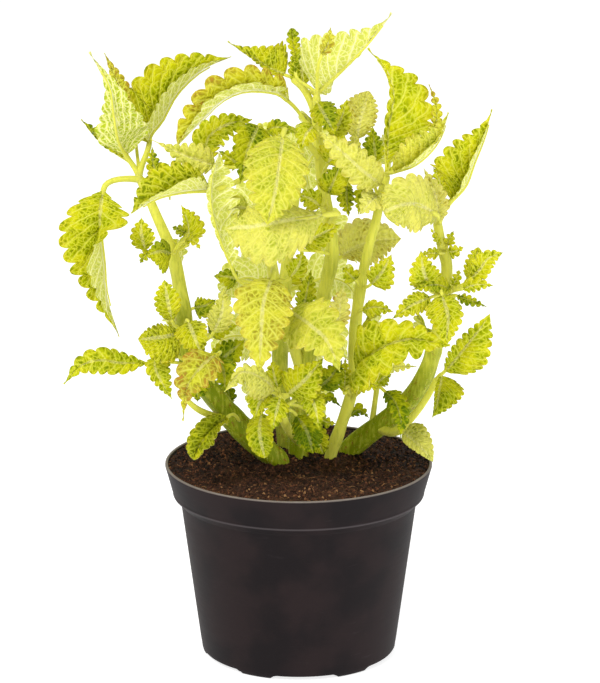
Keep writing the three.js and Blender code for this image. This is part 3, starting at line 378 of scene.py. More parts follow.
            ("lime", "main", 128, [(25, 134, -14), (32, 136, -18), (41, 133, -19)], (5.5, 4.5), 0, 20),
            ("dark", "main", 126, [(42, 131, -22), (47, 125, -27), (49.5, 117, -30), (49.5, 108, -31)],
                (4, 5.5), 0, (15, 20)),
            ("dark", "main", 108, [(25, 119, 4), (29, 122, 5), (34, 118, 5)], (2.5, 3), 0, 20),
            ("mottled", "main", 150, [(29, 158, 2), (33, 163, 14), (36, 160, 26), (37, 151, 32)], 9, 180,
                (10, 20)),
            ("dark", "main", 234, [(37, 245, -1), (36, 253, -1), (35, 262, 0)], (4, 6), 0, 20),
            ("lime", "main", 134, [(22, 131, -10), (22.5, 139, -12), (22.5, 148.5, -12)], 3, 0, 15),
        ],
    },
    "stem_right": {
        "branches": {
            "main": [(23, 76, 9, 5), (23, 98.5, 9, 5.2), (31, 107.5, 7, 5.1), (42, 116, 4, 4.9),
                (51, 124, 2, 4.7), (57, 131.5, 1, 4.5), (61.5, 140, 0, 4.2), (64.5, 149, 0, 3.6),
                (67, 160, 0, 3.1), (70, 180, -1, 2.8), (71, 194, -2, 2.6), (68.5, 204, -3, 2.2),
                (66, 216, -3, 1.8)],
            "shoot": [(38, 112.5, 5, 2.2), (47, 111, -5, 2.1), (54, 117, -9, 1.9), (62, 128, -12, 1.7),
                (67, 138, -12, 1.4)],
            "thin": [(35, 110.5, 6, 1.6), (36.5, 122, 5, 1.3), (38, 134, 4, 1.1)],
        },
        "leaves": [
            ("lime", "main", 214, [(73, 226, -2), (79.3, 233, -2), (83.4, 244, -1), (88.3, 257, 1),
                (91.6, 270, 3)], (8, 18.8), -40, 64, (0.3, 1.75)),
            ("cream", "main", 214, [(67.5, 216, -7), (65.3, 229, -8), (59.5, 241.5, -7)], (5, 4.8), 0,
                25),
            ("pale", "main", 214, [(64, 220, -14), (57, 223.7, -18), (50, 224, -21), (40.5, 220, -22)],
                (12.8, 12.3), 0, (8, 12), (0.5, 0.5)),
            ("mottled", "main", 213, [(66, 218, 4), (61, 223, 14), (55, 222, 25), (51, 215, 30)], 8, 180,
                (10, 20)),
            ("lime", "main", 201, [(67.5, 204, -7), (65.5, 208, -9), (63, 212.5, -9)], 1.2, 0, 20),
            ("lime", "main", 201, [(71, 204, -4), (72, 207, -4), (74, 211, -3)], (3, 2), 0, 20),
            ("lime", "main", 201, [(72, 201, -6), (75, 201, -8), (79, 203, -9)], 3, 0, 20),
            ("lime", "main", 199, [(67, 200, -8), (63, 200, -10), (59, 200, -11)], 2.5, 0, 20),
            ("lime", "main", 176, [(63, 184, -13), (60, 191, -16), (58.5, 201.5, -16)], (7, 7.5), 0,
                (10, 20)),
            ("dark", "main", 178, [(73, 182, -9), (65, 184.5, -14), (54.5, 182, -17)], 4, 0, 25),
            ("mottled", "main", 174, [(63, 178, -14), (54, 174, -19), (45, 167.5, -22)], (4.8, 5), 0,
                15),
            ("lime", "main", 172, [(69, 179, -16), (72, 168, -21), (71, 153, -24)], (10, 7), 0,
                (12, 15)),
            ("lime", "main", 178, [(81.5, 186, -6), (84, 193, -7), (86, 203, -6)], (5, 4.5), 0, (15, 20),
                (0.5, 0.7)),
            ("lime", "main", 178, [(82, 187, -10), (87, 192, -12), (91, 197.5, -13), (97.8, 200.3, -13)],
                5, 0, 20, (0.4, 1)),
            ("lime", "main", 178, [(79, 182.5, -12), (86, 184.5, -15), (93.5, 184, -16)], (2.8, 3.5), 0,
                20),
            ("dark", "main", 175, [(76, 179, -4), (83, 176.7, -5), (90.3, 173.6, -5)], (2.8, 1.8), 0,
                25),
            ("lime", "main", 176, [(70, 183, 4), (68, 188, 15), (66, 184, 27), (66, 175, 32)], 7, 180,
                (10, 20)),
            ("mottled", "main", 152, [(63, 158, 5), (60, 163, 16), (58, 160, 27), (57, 153, 32)], 7, 180,
                (10, 20)),
            ("lime", "shoot", 137, [(70.8, 141.5, -13), (78, 150.5, -15), (84, 158.5, -16),
                (92, 170, -16)], (12, 5), (10, 12), (15, 20), (0.42, 1)),
            ("lime", "shoot", 137, [(69, 139, -16), (67.7, 131, -19), (66.7, 125, -21),
                (64.8, 118, -22)], (1.8, 11.3), 0, (10, 20), (0.3, 1.2)),
            ("lime", "thin", 132, [(38, 135, 3), (41, 138, 3), (45, 140, 3)], 4, 0, 15),
            ("pale", "shoot", 113, [(51, 110, -12), (55, 107, -17), (60, 102, -21), (65.5, 95.5, -23)],
                (3.5, 8.3), 0, (8, 12), (0.33, 0.9, 0.5)),
            ("lime", "main", 180, [(74, 184, -4), (76, 188, -5), (77, 192, -5)], 2.2, 0, 20),
            ("lime", "main", 214, [(68.5, 228, -4), (67, 236, -5), (64, 242, -5)], (2, 3), 0, 15),
        ],
    },
    "stem_back": {
        "branches": {
            "main": [(-6, 80, 15, 4), (-6, 100, 15, 4.2), (-8, 125, 19, 3.8), (-9, 150, 23, 3.4),
                (-7, 180, 26, 3), (-4, 210, 29, 2.5), (0, 238, 30, 1.8)],
        },
        "leaves": [
            ("lime", "main", 122, [(-14, 128, 26), (-20, 134, 34), (-23, 130, 45), (-23, 120, 50)], 11,
                180, (10, 15)),
            ("mottled", "main", 122, [(-2, 127, 25), (6, 132, 34), (11, 129, 43), (13, 119, 48)], 11,
                180, (10, 15)),
            ("bright", "main", 150, [(-17, 154, 28), (-27, 159, 34), (-37, 157, 39), (-43, 147, 42)], 12,
                180, (10, 15)),
            ("lime", "main", 150, [(-2, 153, 30), (8, 158, 38), (18, 157, 45), (24, 147, 48)], 13, 180,
                (10, 15)),
            ("mottled", "main", 176, [(-8, 184, 34), (-8, 187, 43), (-9, 181, 54), (-9, 166, 58)], 13.5,
                180, (10, 15)),
            ("lime", "main", 180, [(2, 184, 30), (13, 188, 32), (23, 185, 35), (29, 175, 37)], 11.5, 180,
                (10, 15)),
            ("bright", "main", 180, [(-14, 184, 29), (-24, 188, 32), (-33, 184, 34), (-38, 173, 35)],
                11.5, 180, (10, 15)),
            ("lime", "main", 208, [(-6, 214, 35), (-7, 218, 44), (-9, 211, 54), (-9, 197, 58)], 13.5,
                180, (10, 15)),
            ("mottled", "main", 208, [(3, 211, 32), (12, 211, 38), (22, 206, 42), (28, 195, 45)], 11,
                180, (10, 15)),
            ("lime", "main", 208, [(-11, 215, 30), (-22, 222, 34), (-33, 222, 35), (-41, 213, 36)], 11.5,
                180, (10, 15)),
            ("bright", "main", 236, [(-4, 243, 34), (-9, 253, 38), (-16, 258, 43), (-24, 256, 46)], 10,
                180, (10, 15)),
            ("mottled", "main", 237, [(4, 243, 34), (10, 252, 39), (18, 255, 44), (26, 251, 47)], 10,
                180, (10, 15)),
            ("lime", "main", 234, [(1, 240, 37), (2, 243, 46), (4, 238, 54), (6, 227, 57)], 11.5, 180,
                (10, 15)),
        ],
    },
}


def unit(vectors):
    return vectors / np.maximum(np.linalg.norm(vectors, axis=-1, keepdims=True), 1e-9)


def between(values, share):  # read at shares from 0, the first value, to 1, the last
    return np.interp(share, np.linspace(0, 1, len(values)), values)


def pair(value):
    return value if isinstance(value, tuple) else (value, value)


class Curve:  # a smooth line through points, read at shares of its length from 0 to 1
    def __init__(self, points):
        self.points = np.asarray(points, float)

    def at(self, share):
        share = np.atleast_1d(np.clip(share, 0, 1))
        points, last = self.points, len(self.points) - 1
        padded = np.vstack([2 * points[0] - points[1], points, 2 * points[-1] - points[-2]])
        start = np.clip((share * last).astype(int), 0, last - 1)
        rest = (share * last - start)[:, None]
        a, b, c, d = (padded[start + k] for k in range(4))
        before, here, after = (np.linalg.norm(q - p, axis=1)[:, None] ** 0.5
                               for p, q in ((a, b), (b, c), (c, d)))
        leave = ((b - a) / before - (c - a) / (before + here) + (c - b) / here) * here
        arrive = ((c - b) / here - (d - b) / (here + after) + (d - c) / after) * here
        bend = -3 * b + 3 * c - 2 * leave - arrive
        return b + leave * rest + bend * rest ** 2 + (2 * b - 2 * c + leave + arrive) * rest ** 3

    def tangent(self, share, step=1e-3):
        return unit(self.at(np.asarray(share) + step) - self.at(np.asarray(share) - step))

    def lengths(self, count):  # from its start to each of so many points
        steps = np.linalg.norm(np.diff(self.at(np.linspace(0, 1, count)), axis=0), axis=1)
        return np.concatenate([[0], np.cumsum(steps)])


class Shells:  # closed shells and the marks of their points, gathered into one mesh for the materials
    layers = (("veins", "FLOAT_VECTOR", "vector", (0, 1, 2)),
              ("blade", "FLOAT_VECTOR", "vector", (3, 4, 5)),
              ("tint", "FLOAT_COLOR", "color", (6, 7, 8, 9)))
    sharpAngle = 1.05

    def __init__(self):
        self.points, self.faces, self.finishes, self.marks, self.count = [], [], [], [], 0

    def add(self, points, faces, finish, marks):
        self.points.append(points)
        self.faces += [tuple(int(k) + self.count for k in face) for face in faces]
        self.finishes += [finish] * len(faces)
        self.marks.append(marks)
        self.count += len(points)

    def build(self, name, materials):
        mesh = bpy.data.meshes.new(name)
        mesh.from_pydata(np.vstack(self.points) * mm, [], self.faces)
        for material in materials:
            mesh.materials.append(material)
        mesh.polygons.foreach_set("material_index", self.finishes)
        marks = np.vstack(self.marks)
        for title, kind, key, columns in self.layers:
            mesh.attributes.new(title, kind, "POINT").data.foreach_set(key, marks[:, columns].ravel())
        mesh.shade_smooth()
        mesh.set_sharp_from_angle(angle=self.sharpAngle)
        mesh.validate()
        return placed(name, mesh)


def placed(name, mesh):
    piece = bpy.data.objects.new(name, mesh)
    bpy.context.scene.collection.objects.link(piece)
    return piece


def tube(points, radii, sides, section=None):
    # rings round a line of points, with a flat face at both ends
    tangents = unit(np.gradient(points, axis=0))
    angles = 2 * np.pi * (np.arange(sides) + 0.5) / sides
    swell = np.ones(sides) if section is None else section(angles)
    across = np.array([1.0, 0, 0])
    rings = []
    for point, tangent, radius in zip(points, tangents, radii):
        across = unit(across - tangent * (across @ tangent))
        over = np.cross(tangent, across)
        spokes = np.cos(angles)[:, None] * across + np.sin(angles)[:, None] * over
        rings.append(point + spokes * (radius * swell)[:, None])
    faces = []
    for i in range(len(points) - 1):
        for k in range(sides):
            a, b = i * sides + k, i * sides + (k + 1) % sides
            faces.append((a, b, b + sides, a + sides))
    last = (len(points) - 1) * sides
    faces += [tuple(range(sides - 1, -1, -1)), tuple(range(last, last + sides))]
    return np.vstack(rings), faces, np.tile(angles, len(points))


eye = np.array([0, -1500, 558.5])  # the plant's tables are a front elevation, drawn as seen from here
spread = 1.5  # how far a depth of 1 in the tables stands back, along the line of sight


def place(x, z, depth):
    onFront = np.array([x, 0, z])
    return eye + (onFront - eye) * (1 + spread * depth / -eye[1])


# Leaves
looks = {
    # dark mottling, pale lime, rosy flush, deep green of painted shade, climb of the side veins, green
    # underneath
    "lime": (0.5, 0.0, 0.0, 0.0, 0.8, 0.25), "bright": (0.28, 0.3, 0.0, 0.0, 0.8, 0.25),
    # the dark look paints shade: a deep green copy of the leaf for leaves that sit in shade
    "mottled": (0.85, 0.0, 0.05, 0.12, 0.8, 0.15), "dark": (0.9, 0.0, 0.0, 0.6, 0.8, 0.4),
    "pale": (0.25, 0.55, 0.05, 0.0, 0.8, 0.25), "under": (0.8, 0.3, 0.0, 0.0, 2.0, 1.0),
    "rosy": (0.75, 0.1, 0.55, 0.05, 0.8, 0.3), "cream": (0.35, 0.75, 0.36, 0.0, 0.8, 0.3),
    "flushed": (0.5, 0.15, 0.3, 0.0, 0.8, 0.3),
}
leaves = {
    "form": (0.34, 1.3, 1),  # where the blade is widest, how it tapers, how deep its lobes are
    "fullness": 1.08, "thickness": 0.5, "marginThickness": 0.28, "leastWidth": 0.5, "tipLoss": 0.35,
    "samples": 201,
    "lobeRows": ((22, (0, 0.07, 0.18, 0.34, 0.52, 0.69, 0.83, 0.94)),  # for blades longer than 22
                 (0, (0, 0.12, 0.3, 0.5, 0.7, 0.88))),
    "columns": ((30, 8), (16, 6), (0, 4)), "crowding": 1.25,  # columns on a half, closer near the margin
    "lobesPerLeaf": 8.2, "leastLobes": 4, "lobePitch": (2.9, 7.2), "lobeDepth": 0.52, "lobeRound": 2.8,
    "lobeLean": 0.22, "lobeSizes": (0.7, 1.25), "lobeMiddle": 0.6, "lobeEdge": 2.6,
    "baseFade": (0.0, 0.08), "tipFade": (0.84, 0.97), "narrowFade": 1.9,  # where the lobes fade
    "bow": 0.7, "bows": (0.5, 1.3), "leastBow": 0.06,
    "shut": 82,  # a blade folds up to this at most, so that its halves never pass through each other
    "quilt": 0.13, "quiltRound": 0.8, "lobeFlick": 0.2, "flickDown": 0.4, "flickEdge": 2.5,
    "crinkle": 0.07, "crinkles": (0.6, 1.5), "crinkleEdge": (0.25, 1.5),
    "waves": ((0.9, 1.0), (0.5, 0.6), (0.28, 0.35)), "waveLength": 1.6, "shortestWave": 2,
    "flattened": 0.8, "flattenedFrom": (55, 72),  # a blade that is nearly shut has less relief
    "midrib": (0.05, 0.86, 12), "ribSink": 0.55,  # first and last share, points, and depth in the blade
    "patternStep": 41.0,  # the pattern of each leaf is cut from another place
    "lookRange": 0.08, "shadeAndAgeGreen": 0.5, "shadeAndAgeHeights": (185, 115),  # low leaves are deeper green: painted shade under the leaves above, with the deeper green of older leaves
}


def outline(share, widest, taper):
    def bulge(v):
        return v ** (taper * widest / (1 - widest)) * (1 - v) ** taper
    return bulge(share) / bulge(widest)


def countLobes(curve, halves, widest, taper):
    # length, lobe pitch, number of lobes, and the count of lobes along the blade, whole at each notch
    share = np.linspace(0, 1, leaves["samples"])
    along = curve.lengths(len(share))
    width = leaves["fullness"] * max(halves) * outline(share, widest, taper)
    margin = np.concatenate([[0], np.cumsum(np.hypot(np.diff(along), np.diff(width)))])
    pitch = float(np.clip(along[-1] / leaves["lobesPerLeaf"], *leaves["lobePitch"]))
    lobes = max(leaves["leastLobes"], round(margin[-1] / pitch))
    return along[-1], pitch, lobes, share, margin / margin[-1] * lobes


def directions(curve, u, turn):  # along, across and up from the blade at each row
    chord = curve.points[-1] - curve.points[0]
    aside = unit(np.cross(chord, unit(eye - curve.points[0])))
    tangent = curve.tangent(u)
    across = unit(aside - tangent * (tangent @ aside)[:, None])
    roll = np.radians(between(turn, u))[:, None]
    across = across * np.cos(roll) + np.cross(tangent, across) * np.sin(roll)
    return tangent, across, np.cross(across, tangent)


def crinkled(x, y, width, chance):  # waves that run over the blade in chance directions
    waves = 0
    for size, strength in leaves["waves"]:
        heading, shift = chance.uniform(0, 2 * np.pi, 2)
        run = (x * np.cos(heading) + y * np.sin(heading)) / (size * width + leaves["shortestWave"])
        waves = waves + strength * np.sin(2 * np.pi * run / leaves["waveLength"] + shift)
    return waves


def bladeMarks(veinPhase, v, x, y, index, height, look, chance):
    # vein phase, share out to the margin, distance from the midrib, place on the blade, and its look
    spare = leaves["lookRange"]
    mottle, pale, rosy, deep = (float(np.clip(value + chance.uniform(-spare, spare) * (value > 0), 0, 1))
                                for value in look[:4])
    # painted shade: leaves low on the plant are given deeper green
    deep = min(deep + leaves["shadeAndAgeGreen"] * float(smooth(*leaves["shadeAndAgeHeights"], height)), 1)
    values = veinPhase, v, np.abs(y), x + leaves["patternStep"] * index, y, deep, mottle, pale, rosy, 0
    upper = np.stack([np.broadcast_to(value, y.shape) for value in values], -1).reshape(-1, len(values))
    lower = upper.copy()
    lower[:, 6], lower[:, 9] = look[5], 1  # its own mottling, and the sign of an underside
    return np.vstack([upper, lower])


def sheetFaces(shape):  # upper face, underside and the rim between them
    count = shape[0] * shape[1]
    grid = np.arange(count).reshape(shape)
    top = np.stack([grid[:-1, :-1], grid[:-1, 1:], grid[1:, 1:], grid[1:, :-1]], -1).reshape(-1, 4)
    rim = np.concatenate([grid[0, :], grid[1:, -1], grid[-1, -2::-1], grid[-2:0:-1, 0]])
    following = np.roll(rim, -1)
    walls = np.stack([rim, rim + count, following + count, following], -1)
    return np.vstack([top, top[:, ::-1] + count, walls])


def blade(index, rib, halves, turn, fold, form, look, chance):
    b, curve = leaves, Curve(rib)
    widest, taper, toothed = form
    length, pitch, lobes, share, phase = countLobes(curve, halves, widest, taper)
    lobeRows, columns = (next(choice for least, choice in b[key] if length > least)
                         for key in ("lobeRows", "columns"))
    u = np.interp(np.append((np.arange(lobes)[:, None] + lobeRows).ravel(), lobes), phase, share)
    down = u[:, None]  # 0 at the base, 1 at the tip
    v = np.linspace(-1, 1, 2 * columns + 1)[None, :]
    side = np.sign(v)
    v = 1 - (1 - np.abs(v)) ** b["crowding"]  # 0 on the midrib, 1 at the margin

    half = np.where(side >= 0, halves[0], halves[1])
    reach = b["fullness"] * half * outline(down, widest, taper)
    reach = np.maximum(reach, b["leastWidth"] - b["tipLoss"] * down)
    lobePhase = np.interp(u, share, phase)[:, None]
    lobe = 1 - np.abs(2 * np.mod(lobePhase, 1) - 1) ** b["lobeRound"]
    fade = (smooth(*b["baseFade"], down) * (1 - smooth(*b["tipFade"], down))
            * np.minimum(1, b["narrowFade"] * reach / half.max()))
    sizes = chance.uniform(*b["lobeSizes"], (2, lobes + 1))
    flicks = chance.uniform(-1, 1, (2, lobes + 1))
    ownLobe = np.where(side >= 0, 0, 1), np.minimum(lobePhase.astype(int), lobes)
    tooth = b["lobeDepth"] * toothed * pitch * fade * v ** b["lobeEdge"] * sizes[ownLobe]

    # each half is folded up and bowed as an arc
    lift = np.radians(between(fold, down))
    bow = b["bow"] * chance.uniform(*b["bows"])
    bow = np.minimum(bow, np.maximum(2 * (np.radians(b["shut"]) - lift), b["leastBow"]))
    angle = lift + bow * (0.5 - v)
    outer = tooth * (lobe - b["lobeMiddle"])
    outward = reach * (np.sin(lift + bow / 2) - np.sin(angle)) / bow + outer * np.cos(angle)
    upward = reach * (np.cos(angle) - np.cos(lift + bow / 2)) / bow + outer * np.sin(angle)
    forward = b["lobeLean"] * tooth * lobe

    # the height of its relief: quilted between the side veins, crinkled, each lobe flicked up or down
    x, y = length * down, side * reach * v
    waves = crinkled(x, y, half.max(), chance)
    flat, rise = b["crinkleEdge"]
    relief = (b["quilt"] * pitch * (0.5 + 0.5 * np.cos(2 * np.pi * lobePhase))
              * np.sin(np.pi * v ** b["quiltRound"]))
    relief = relief + (b["crinkle"] * half.max() * chance.uniform(*b["crinkles"]) * waves
                       * (flat + (1 - flat) * v ** rise) * fade)
    relief = relief + (b["lobeFlick"] * pitch * (flicks[ownLobe] - b["flickDown"]) * lobe
                       * v ** b["flickEdge"] * fade)
    relief = relief * (1 - b["flattened"] * smooth(*np.radians(b["flattenedFrom"]), lift))

    tangent, across, up = directions(curve, u, turn)
    ahead, aside, above = (axis[:, None, :] for axis in (tangent, across, up))
    normal = np.cos(angle)[..., None] * above - (side * np.sin(angle))[..., None] * aside
    middle = (curve.at(u)[:, None, :] + (side * outward)[..., None] * aside + upward[..., None] * above
              + forward[..., None] * ahead + relief[..., None] * normal)
    body = (b["thickness"] + (b["marginThickness"] - b["thickness"]) * v)[..., None] / 2 * normal
    points = np.vstack([(middle + body).reshape(-1, 3), (middle - body).reshape(-1, 3)])

    climb = look[4] * reach / length  # the side veins run on towards the tip as they go out
    later = down + (1 - v) * climb
    veinPhase = np.interp(later, share, phase) + np.maximum(later - 1, 0) * lobes - 0.5
    marks = bladeMarks(veinPhase, v, x, y, index, rib[:, 2].mean(), look, chance)
    inside = np.linspace(*b["midrib"])
    sunk = np.column_stack([np.interp(inside, u, up[:, axis]) for axis in range(3)]) * b["ribSink"]
    return points, sheetFaces(y.shape), marks, curve.at(inside) - sunk


def inBox(points):  # a blade moved by the little that it passes the box of the CAD model
    low, high = (np.array(corner) / mm for corner in cadBox)
    return points + np.maximum(low - points.min(axis=0), 0) - np.maximum(points.max(axis=0) - high, 0)


# Stems and stalks
stalks = {
    "stemSides": 16, "stalkSides": 8, "rowsPerPoint": 8,
    "squareness": 0.075,  # a coleus stem is four-sided
    "nodeSwell": 0.14, "nodeCloseness": 3, "tipRadius": 0.6,
    "young": 1.4, "oldAfter": 3.6,  # the radius where age begins to show, and how much on it is full
    "stalkRows": 9, "leaveShare": 0.33, "leaveRise": 0.4,
    "halvesPerRadius": 20, "stalkRadii": (0.8, 1.4),
    "footFlare": 0.35, "midribRadius": 0.8, "midribTaper": 0.62, "stalkAge": 0.05, "stalkStep": 3.0,
    "hairSides": 3, "hairRadius": 0.045, "hairLengths": (0.4, 1.1),  # for a hair of length 1
}
hairs = {"Hair Density": 300000.0, "Hair Length": 0.0009, "Seed": 5}


def hairy(piece, material):
    coat = Recipe("stemHairs", hairs)
    isStem = coat.node("GeometryNodeInputMaterialIndex").above(0.5)
    once = coat.size("Seed")
    points = coat.node("GeometryNodeDistributePointsOnFaces", Mesh=coat.given, Selection=isStem,
                       Density=coat.size("Hair Density"), Seed=once)
    hair = coat.node("GeometryNodeMeshCone", {"fill_type": "NONE"}, Vertices=stalks["hairSides"],
                     Radius_Top=0.0, Radius_Bottom=stalks["hairRadius"], Depth=1.0)
    lengths = coat.chance(stalks["hairLengths"], once + 1)
    grown = coat.node("GeometryNodeInstanceOnPoints", Points=points, Instance=hair,
                      Rotation=points.out("Rotation"), Scale=coat.size("Hair Length") * lengths)
    coat.grow(piece, coat.joined(coat.given, coat.painted(grown, material)))


def petiole(start, rib, halves, onward):  # to the blade, then on under it as its raised midrib
    into = Curve(rib).tangent([0.0])[0]
    reach = np.linalg.norm(start - rib[0]) / 3
    rise = np.array([0, 0, reach * stalks["leaveRise"]])
    leave = start + (rib[0] - start) * stalks["leaveShare"] + rise
    arrive = rib[0] - into * reach
    t = np.linspace(0, 1, stalks["stalkRows"])[:, None]
    stalk = ((1 - t) ** 3 * start + 3 * (1 - t) ** 2 * t * leave + 3 * (1 - t) * t ** 2 * arrive
             + t ** 3 * rib[0])
    far = np.linspace(*leaves["midrib"])
    thick = float(np.clip((halves[0] + halves[1]) / stalks["halvesPerRadius"], *stalks["stalkRadii"]))
    radii = np.concatenate([thick * (1 + stalks["footFlare"] * (1 - t[:, 0]) ** 4),
                            thick * (stalks["midribRadius"] - stalks["midribTaper"] * far ** 0.7)])
    return np.vstack([stalk, onward]), radii


def stemMarks(count, along, age, angle):  # in the places of a blade's marks: run, age and way round
    marks = np.zeros((count, 10))
    marks[:, 0], marks[:, 1], marks[:, 2] = along, age, angle
    return marks


def heightOn(rows, height):  # the share of a branch's length at which it reaches a height
    heights = [row[1] for row in rows]
    upper = next((i for i in range(1, len(rows)) if heights[i] >= height), len(rows) - 1)
    share = min((height - heights[upper - 1]) / (heights[upper] - heights[upper - 1]), 1)
    return (upper - 1 + share) / (len(rows) - 1)


def leafyStem(title, stem, materials):
    chance = np.random.default_rng(seed + sum(map(ord, title)))
    shells = Shells()
    s, sides = stalks, stalks["stemSides"]
    curves = {name: Curve([place(*row[:3]) for row in rows]) for name, rows in stem["branches"].items()}
    for name, rows in stem["branches"].items():
        t = np.linspace(0, 1, (len(rows) - 1) * s["rowsPerPoint"] + 1)
        nodes = [heightOn(rows, leaf[2]) for leaf in stem["leaves"] if leaf[1] == name] or [-1.0]
        away = (t[:, None] - np.array(nodes)) * len(rows) * s["nodeCloseness"]
        swell = s["nodeSwell"] * np.exp(-away ** 2).max(axis=1)
        radii = between([row[3] for row in rows], t) * (1 + swell)
        radii[-1] *= s["tipRadius"]
        points, faces, angles = tube(curves[name].at(t), radii, sides,
                                     lambda angle: 1 + s["squareness"] * np.cos(4 * angle))
        age = np.clip((np.repeat(radii, sides) - s["young"]) / s["oldAfter"], 0, 1)
        along = np.repeat(curves[name].lengths(len(t)), sides)
        shells.add(points, faces, 1, stemMarks(len(points), along, age, angles))
    for index, (look, branch, height, ribRows, *shape) in enumerate(stem["leaves"]):
        halves, turn, fold = (pair(value) for value in shape[:3])
        form = (*shape[3], leaves["form"][2])[:3] if shape[3:] else leaves["form"]
        rib = np.array([place(*row) for row in ribRows])
        start = curves[branch].at([heightOn(stem["branches"][branch], height)])[0]
        points, faces, marks, midrib = blade(index, rib, halves, turn, fold, form, looks[look], chance)
        shells.add(inBox(points), faces, 0, marks)
        path, radii = petiole(start, rib, halves, midrib)
        points, faces, angles = tube(path, radii, s["stalkSides"])
        run = np.repeat(np.arange(len(path)) * s["stalkStep"], s["stalkSides"])
        shells.add(points, faces, 1, stemMarks(len(points), run, s["stalkAge"], angles))
    piece = shells.build(title, materials[:2])
    hairy(piece, materials[2])
    return piece


limes = {name: linear(*colour) for name, colour in {
    # deep is the green of painted shade, for leaves in shade and low on the plant
    "lime": (206, 204, 14), "cool": (180, 188, 0), "cell": (122, 134, 0), "deep": (80, 104, 0),
    "pale": (232, 227, 138), "rosy": (186, 130, 50), "edge": (192, 160, 30),
    "vein": (230, 228, 108), "midrib": (240, 236, 158),
    "underside": (206, 207, 98), "underCell": (150, 166, 22), "underVein": (238, 238, 184),
    "youngStem": (220, 219, 88), "oldStem": (128, 143, 6), "cork": (134, 104, 26),
    "darkStreak": (124, 142, 6), "paleStreak": (222, 220, 84),
    "hair": (226, 222, 150), "paleHair": (240, 238, 196),
}.items()}
pattern = {  # how close its spots are, and how far they are swayed
    "patch": 0.1, "fleck": 0.35, "fine": 1.5, "cells": 0.44, "wander": 0.3, "sway": (2.6, 2.6, 0),
}


def leafSkin():
    leaf = Finish("coleusLeaf")
    veinPhase, outwards, fromMidrib = leaf.parts(leaf.marks("veins", "Vector"))
    onBlade = leaf.marks("blade", "Vector")
    deep = leaf.parts(onBlade)[2]
    mottle, pale, rosy = leaf.parts(leaf.marks("tint", "Color"))
    under = leaf.marks("tint", "Alpha")
    patch, fleck, fine = (leaf.cloud(onBlade, pattern[name], flat=True)
                          for name in ("patch", "fleck", "fine"))
    wander = leaf.cloud(onBlade, pattern["wander"], flat=True, output=1)
    swayed = leaf.node("ShaderNodeVectorMath", {"operation": "MULTIPLY_ADD"},
                       n0=wander, n1=pattern["sway"], n2=onBlade)
    cell, lot = (leaf.node("ShaderNodeTexVoronoi", {"voronoi_dimensions": "2D", "feature": feature},
                           output, Vector=swayed, Scale=pattern["cells"])
                 for feature, output in (("DISTANCE_TO_EDGE", "Distance"), ("F1", "Color")))
    lot = leaf.parts(lot)[0]
    sideVein = abs((veinPhase + (fleck - 0.5) * 0.14).fraction() - 0.5) * 2  # 0 on a side vein
    midLine = 1 - fromMidrib.ramp(0.4, 1.5).most(outwards.ramp(0.1, 0.22))
    sideLine = (1 - sideVein.ramp(0.03, 0.26)) * (1 - outwards * 0.4)
    netLine = 1 - cell.ramp(0.0, 0.17)
    veinLine = (sideLine * 0.8).most(netLine * 0.36)
    thinLine = (1 - sideVein.ramp(0.03, 0.2)).most(netLine * 0.6)
    dark = (cell.ramp(0.0, 0.42) * sideVein.ramp(0.03, 0.5)  # between the veins, more in some cells
            * (lot * 0.35 + fleck.ramp(0.38, 0.6) * 0.6 + fine * 0.5)
            * (patch.ramp(0.36, 0.6) * 0.85 + 0.3))
    browned = outwards ** 5 * fleck.ramp(0.4, 0.6) * 0.55
    redness = rosy * (dark * 0.6 + patch.ramp(0.42, 0.66) * 0.4 + outwards ** 4 * 0.5)

    upper = leaf.mix(patch.ramp(0.3, 0.7), limes["lime"], limes["cool"])
    # the deep green mixed in here is painted shade
    for share, colour in ((browned, "edge"), (mottle * dark * 1.75, "cell"),
                          (deep * (0.4 + dark * 0.5 + patch.ramp(0.4, 0.65) * 0.4), "deep"),
                          (pale * (0.85 - dark * 0.6), "pale"), (redness, "rosy"),
                          (veinLine * (0.8 - deep * 0.75), "vein"),
                          (midLine * (0.62 - deep * 0.4), "midrib")):
        upper = leaf.mix(share.clamp(), upper, limes[colour])
    ribbed = sideVein.ramp(0.12, 0.6) * (0.55 + cell.ramp(0.03, 0.3) * 0.45)
    lower = leaf.mix((ribbed * (mottle * 0.75 + 0.15)).clamp(), limes["underside"], limes["underCell"])
    lower = leaf.mix((midLine.most(thinLine) * 0.75).clamp(), lower, limes["underVein"])
    sunken = cell.ramp(0, 0.5) * 0.4 + sideVein.ramp(0, 0.7) * 0.6 - veinLine * 0.3
    paintedUndersideLight = leaf.mix(under, (0, 0, 0, 1), lower)  # painted light: the undersides glow, standing in for daylight through the blade and lifting their shade
    leaf.set(Base_Color=leaf.mix(under, upper, lower), Roughness=0.5 + fine * 0.14 + under * 0.12,
             Emission_Color=paintedUndersideLight, Emission_Strength=0.2,
             Subsurface_Weight=0.25, Subsurface_Radius=(0.9, 1.0, 0.1), Subsurface_Scale=0.002,
             Specular_IOR_Level=0.07)
    leaf.bump(sunken * (1 - under * 1.7) + fine * 0.1, 0.0007, 0.85)
    return leaf.material


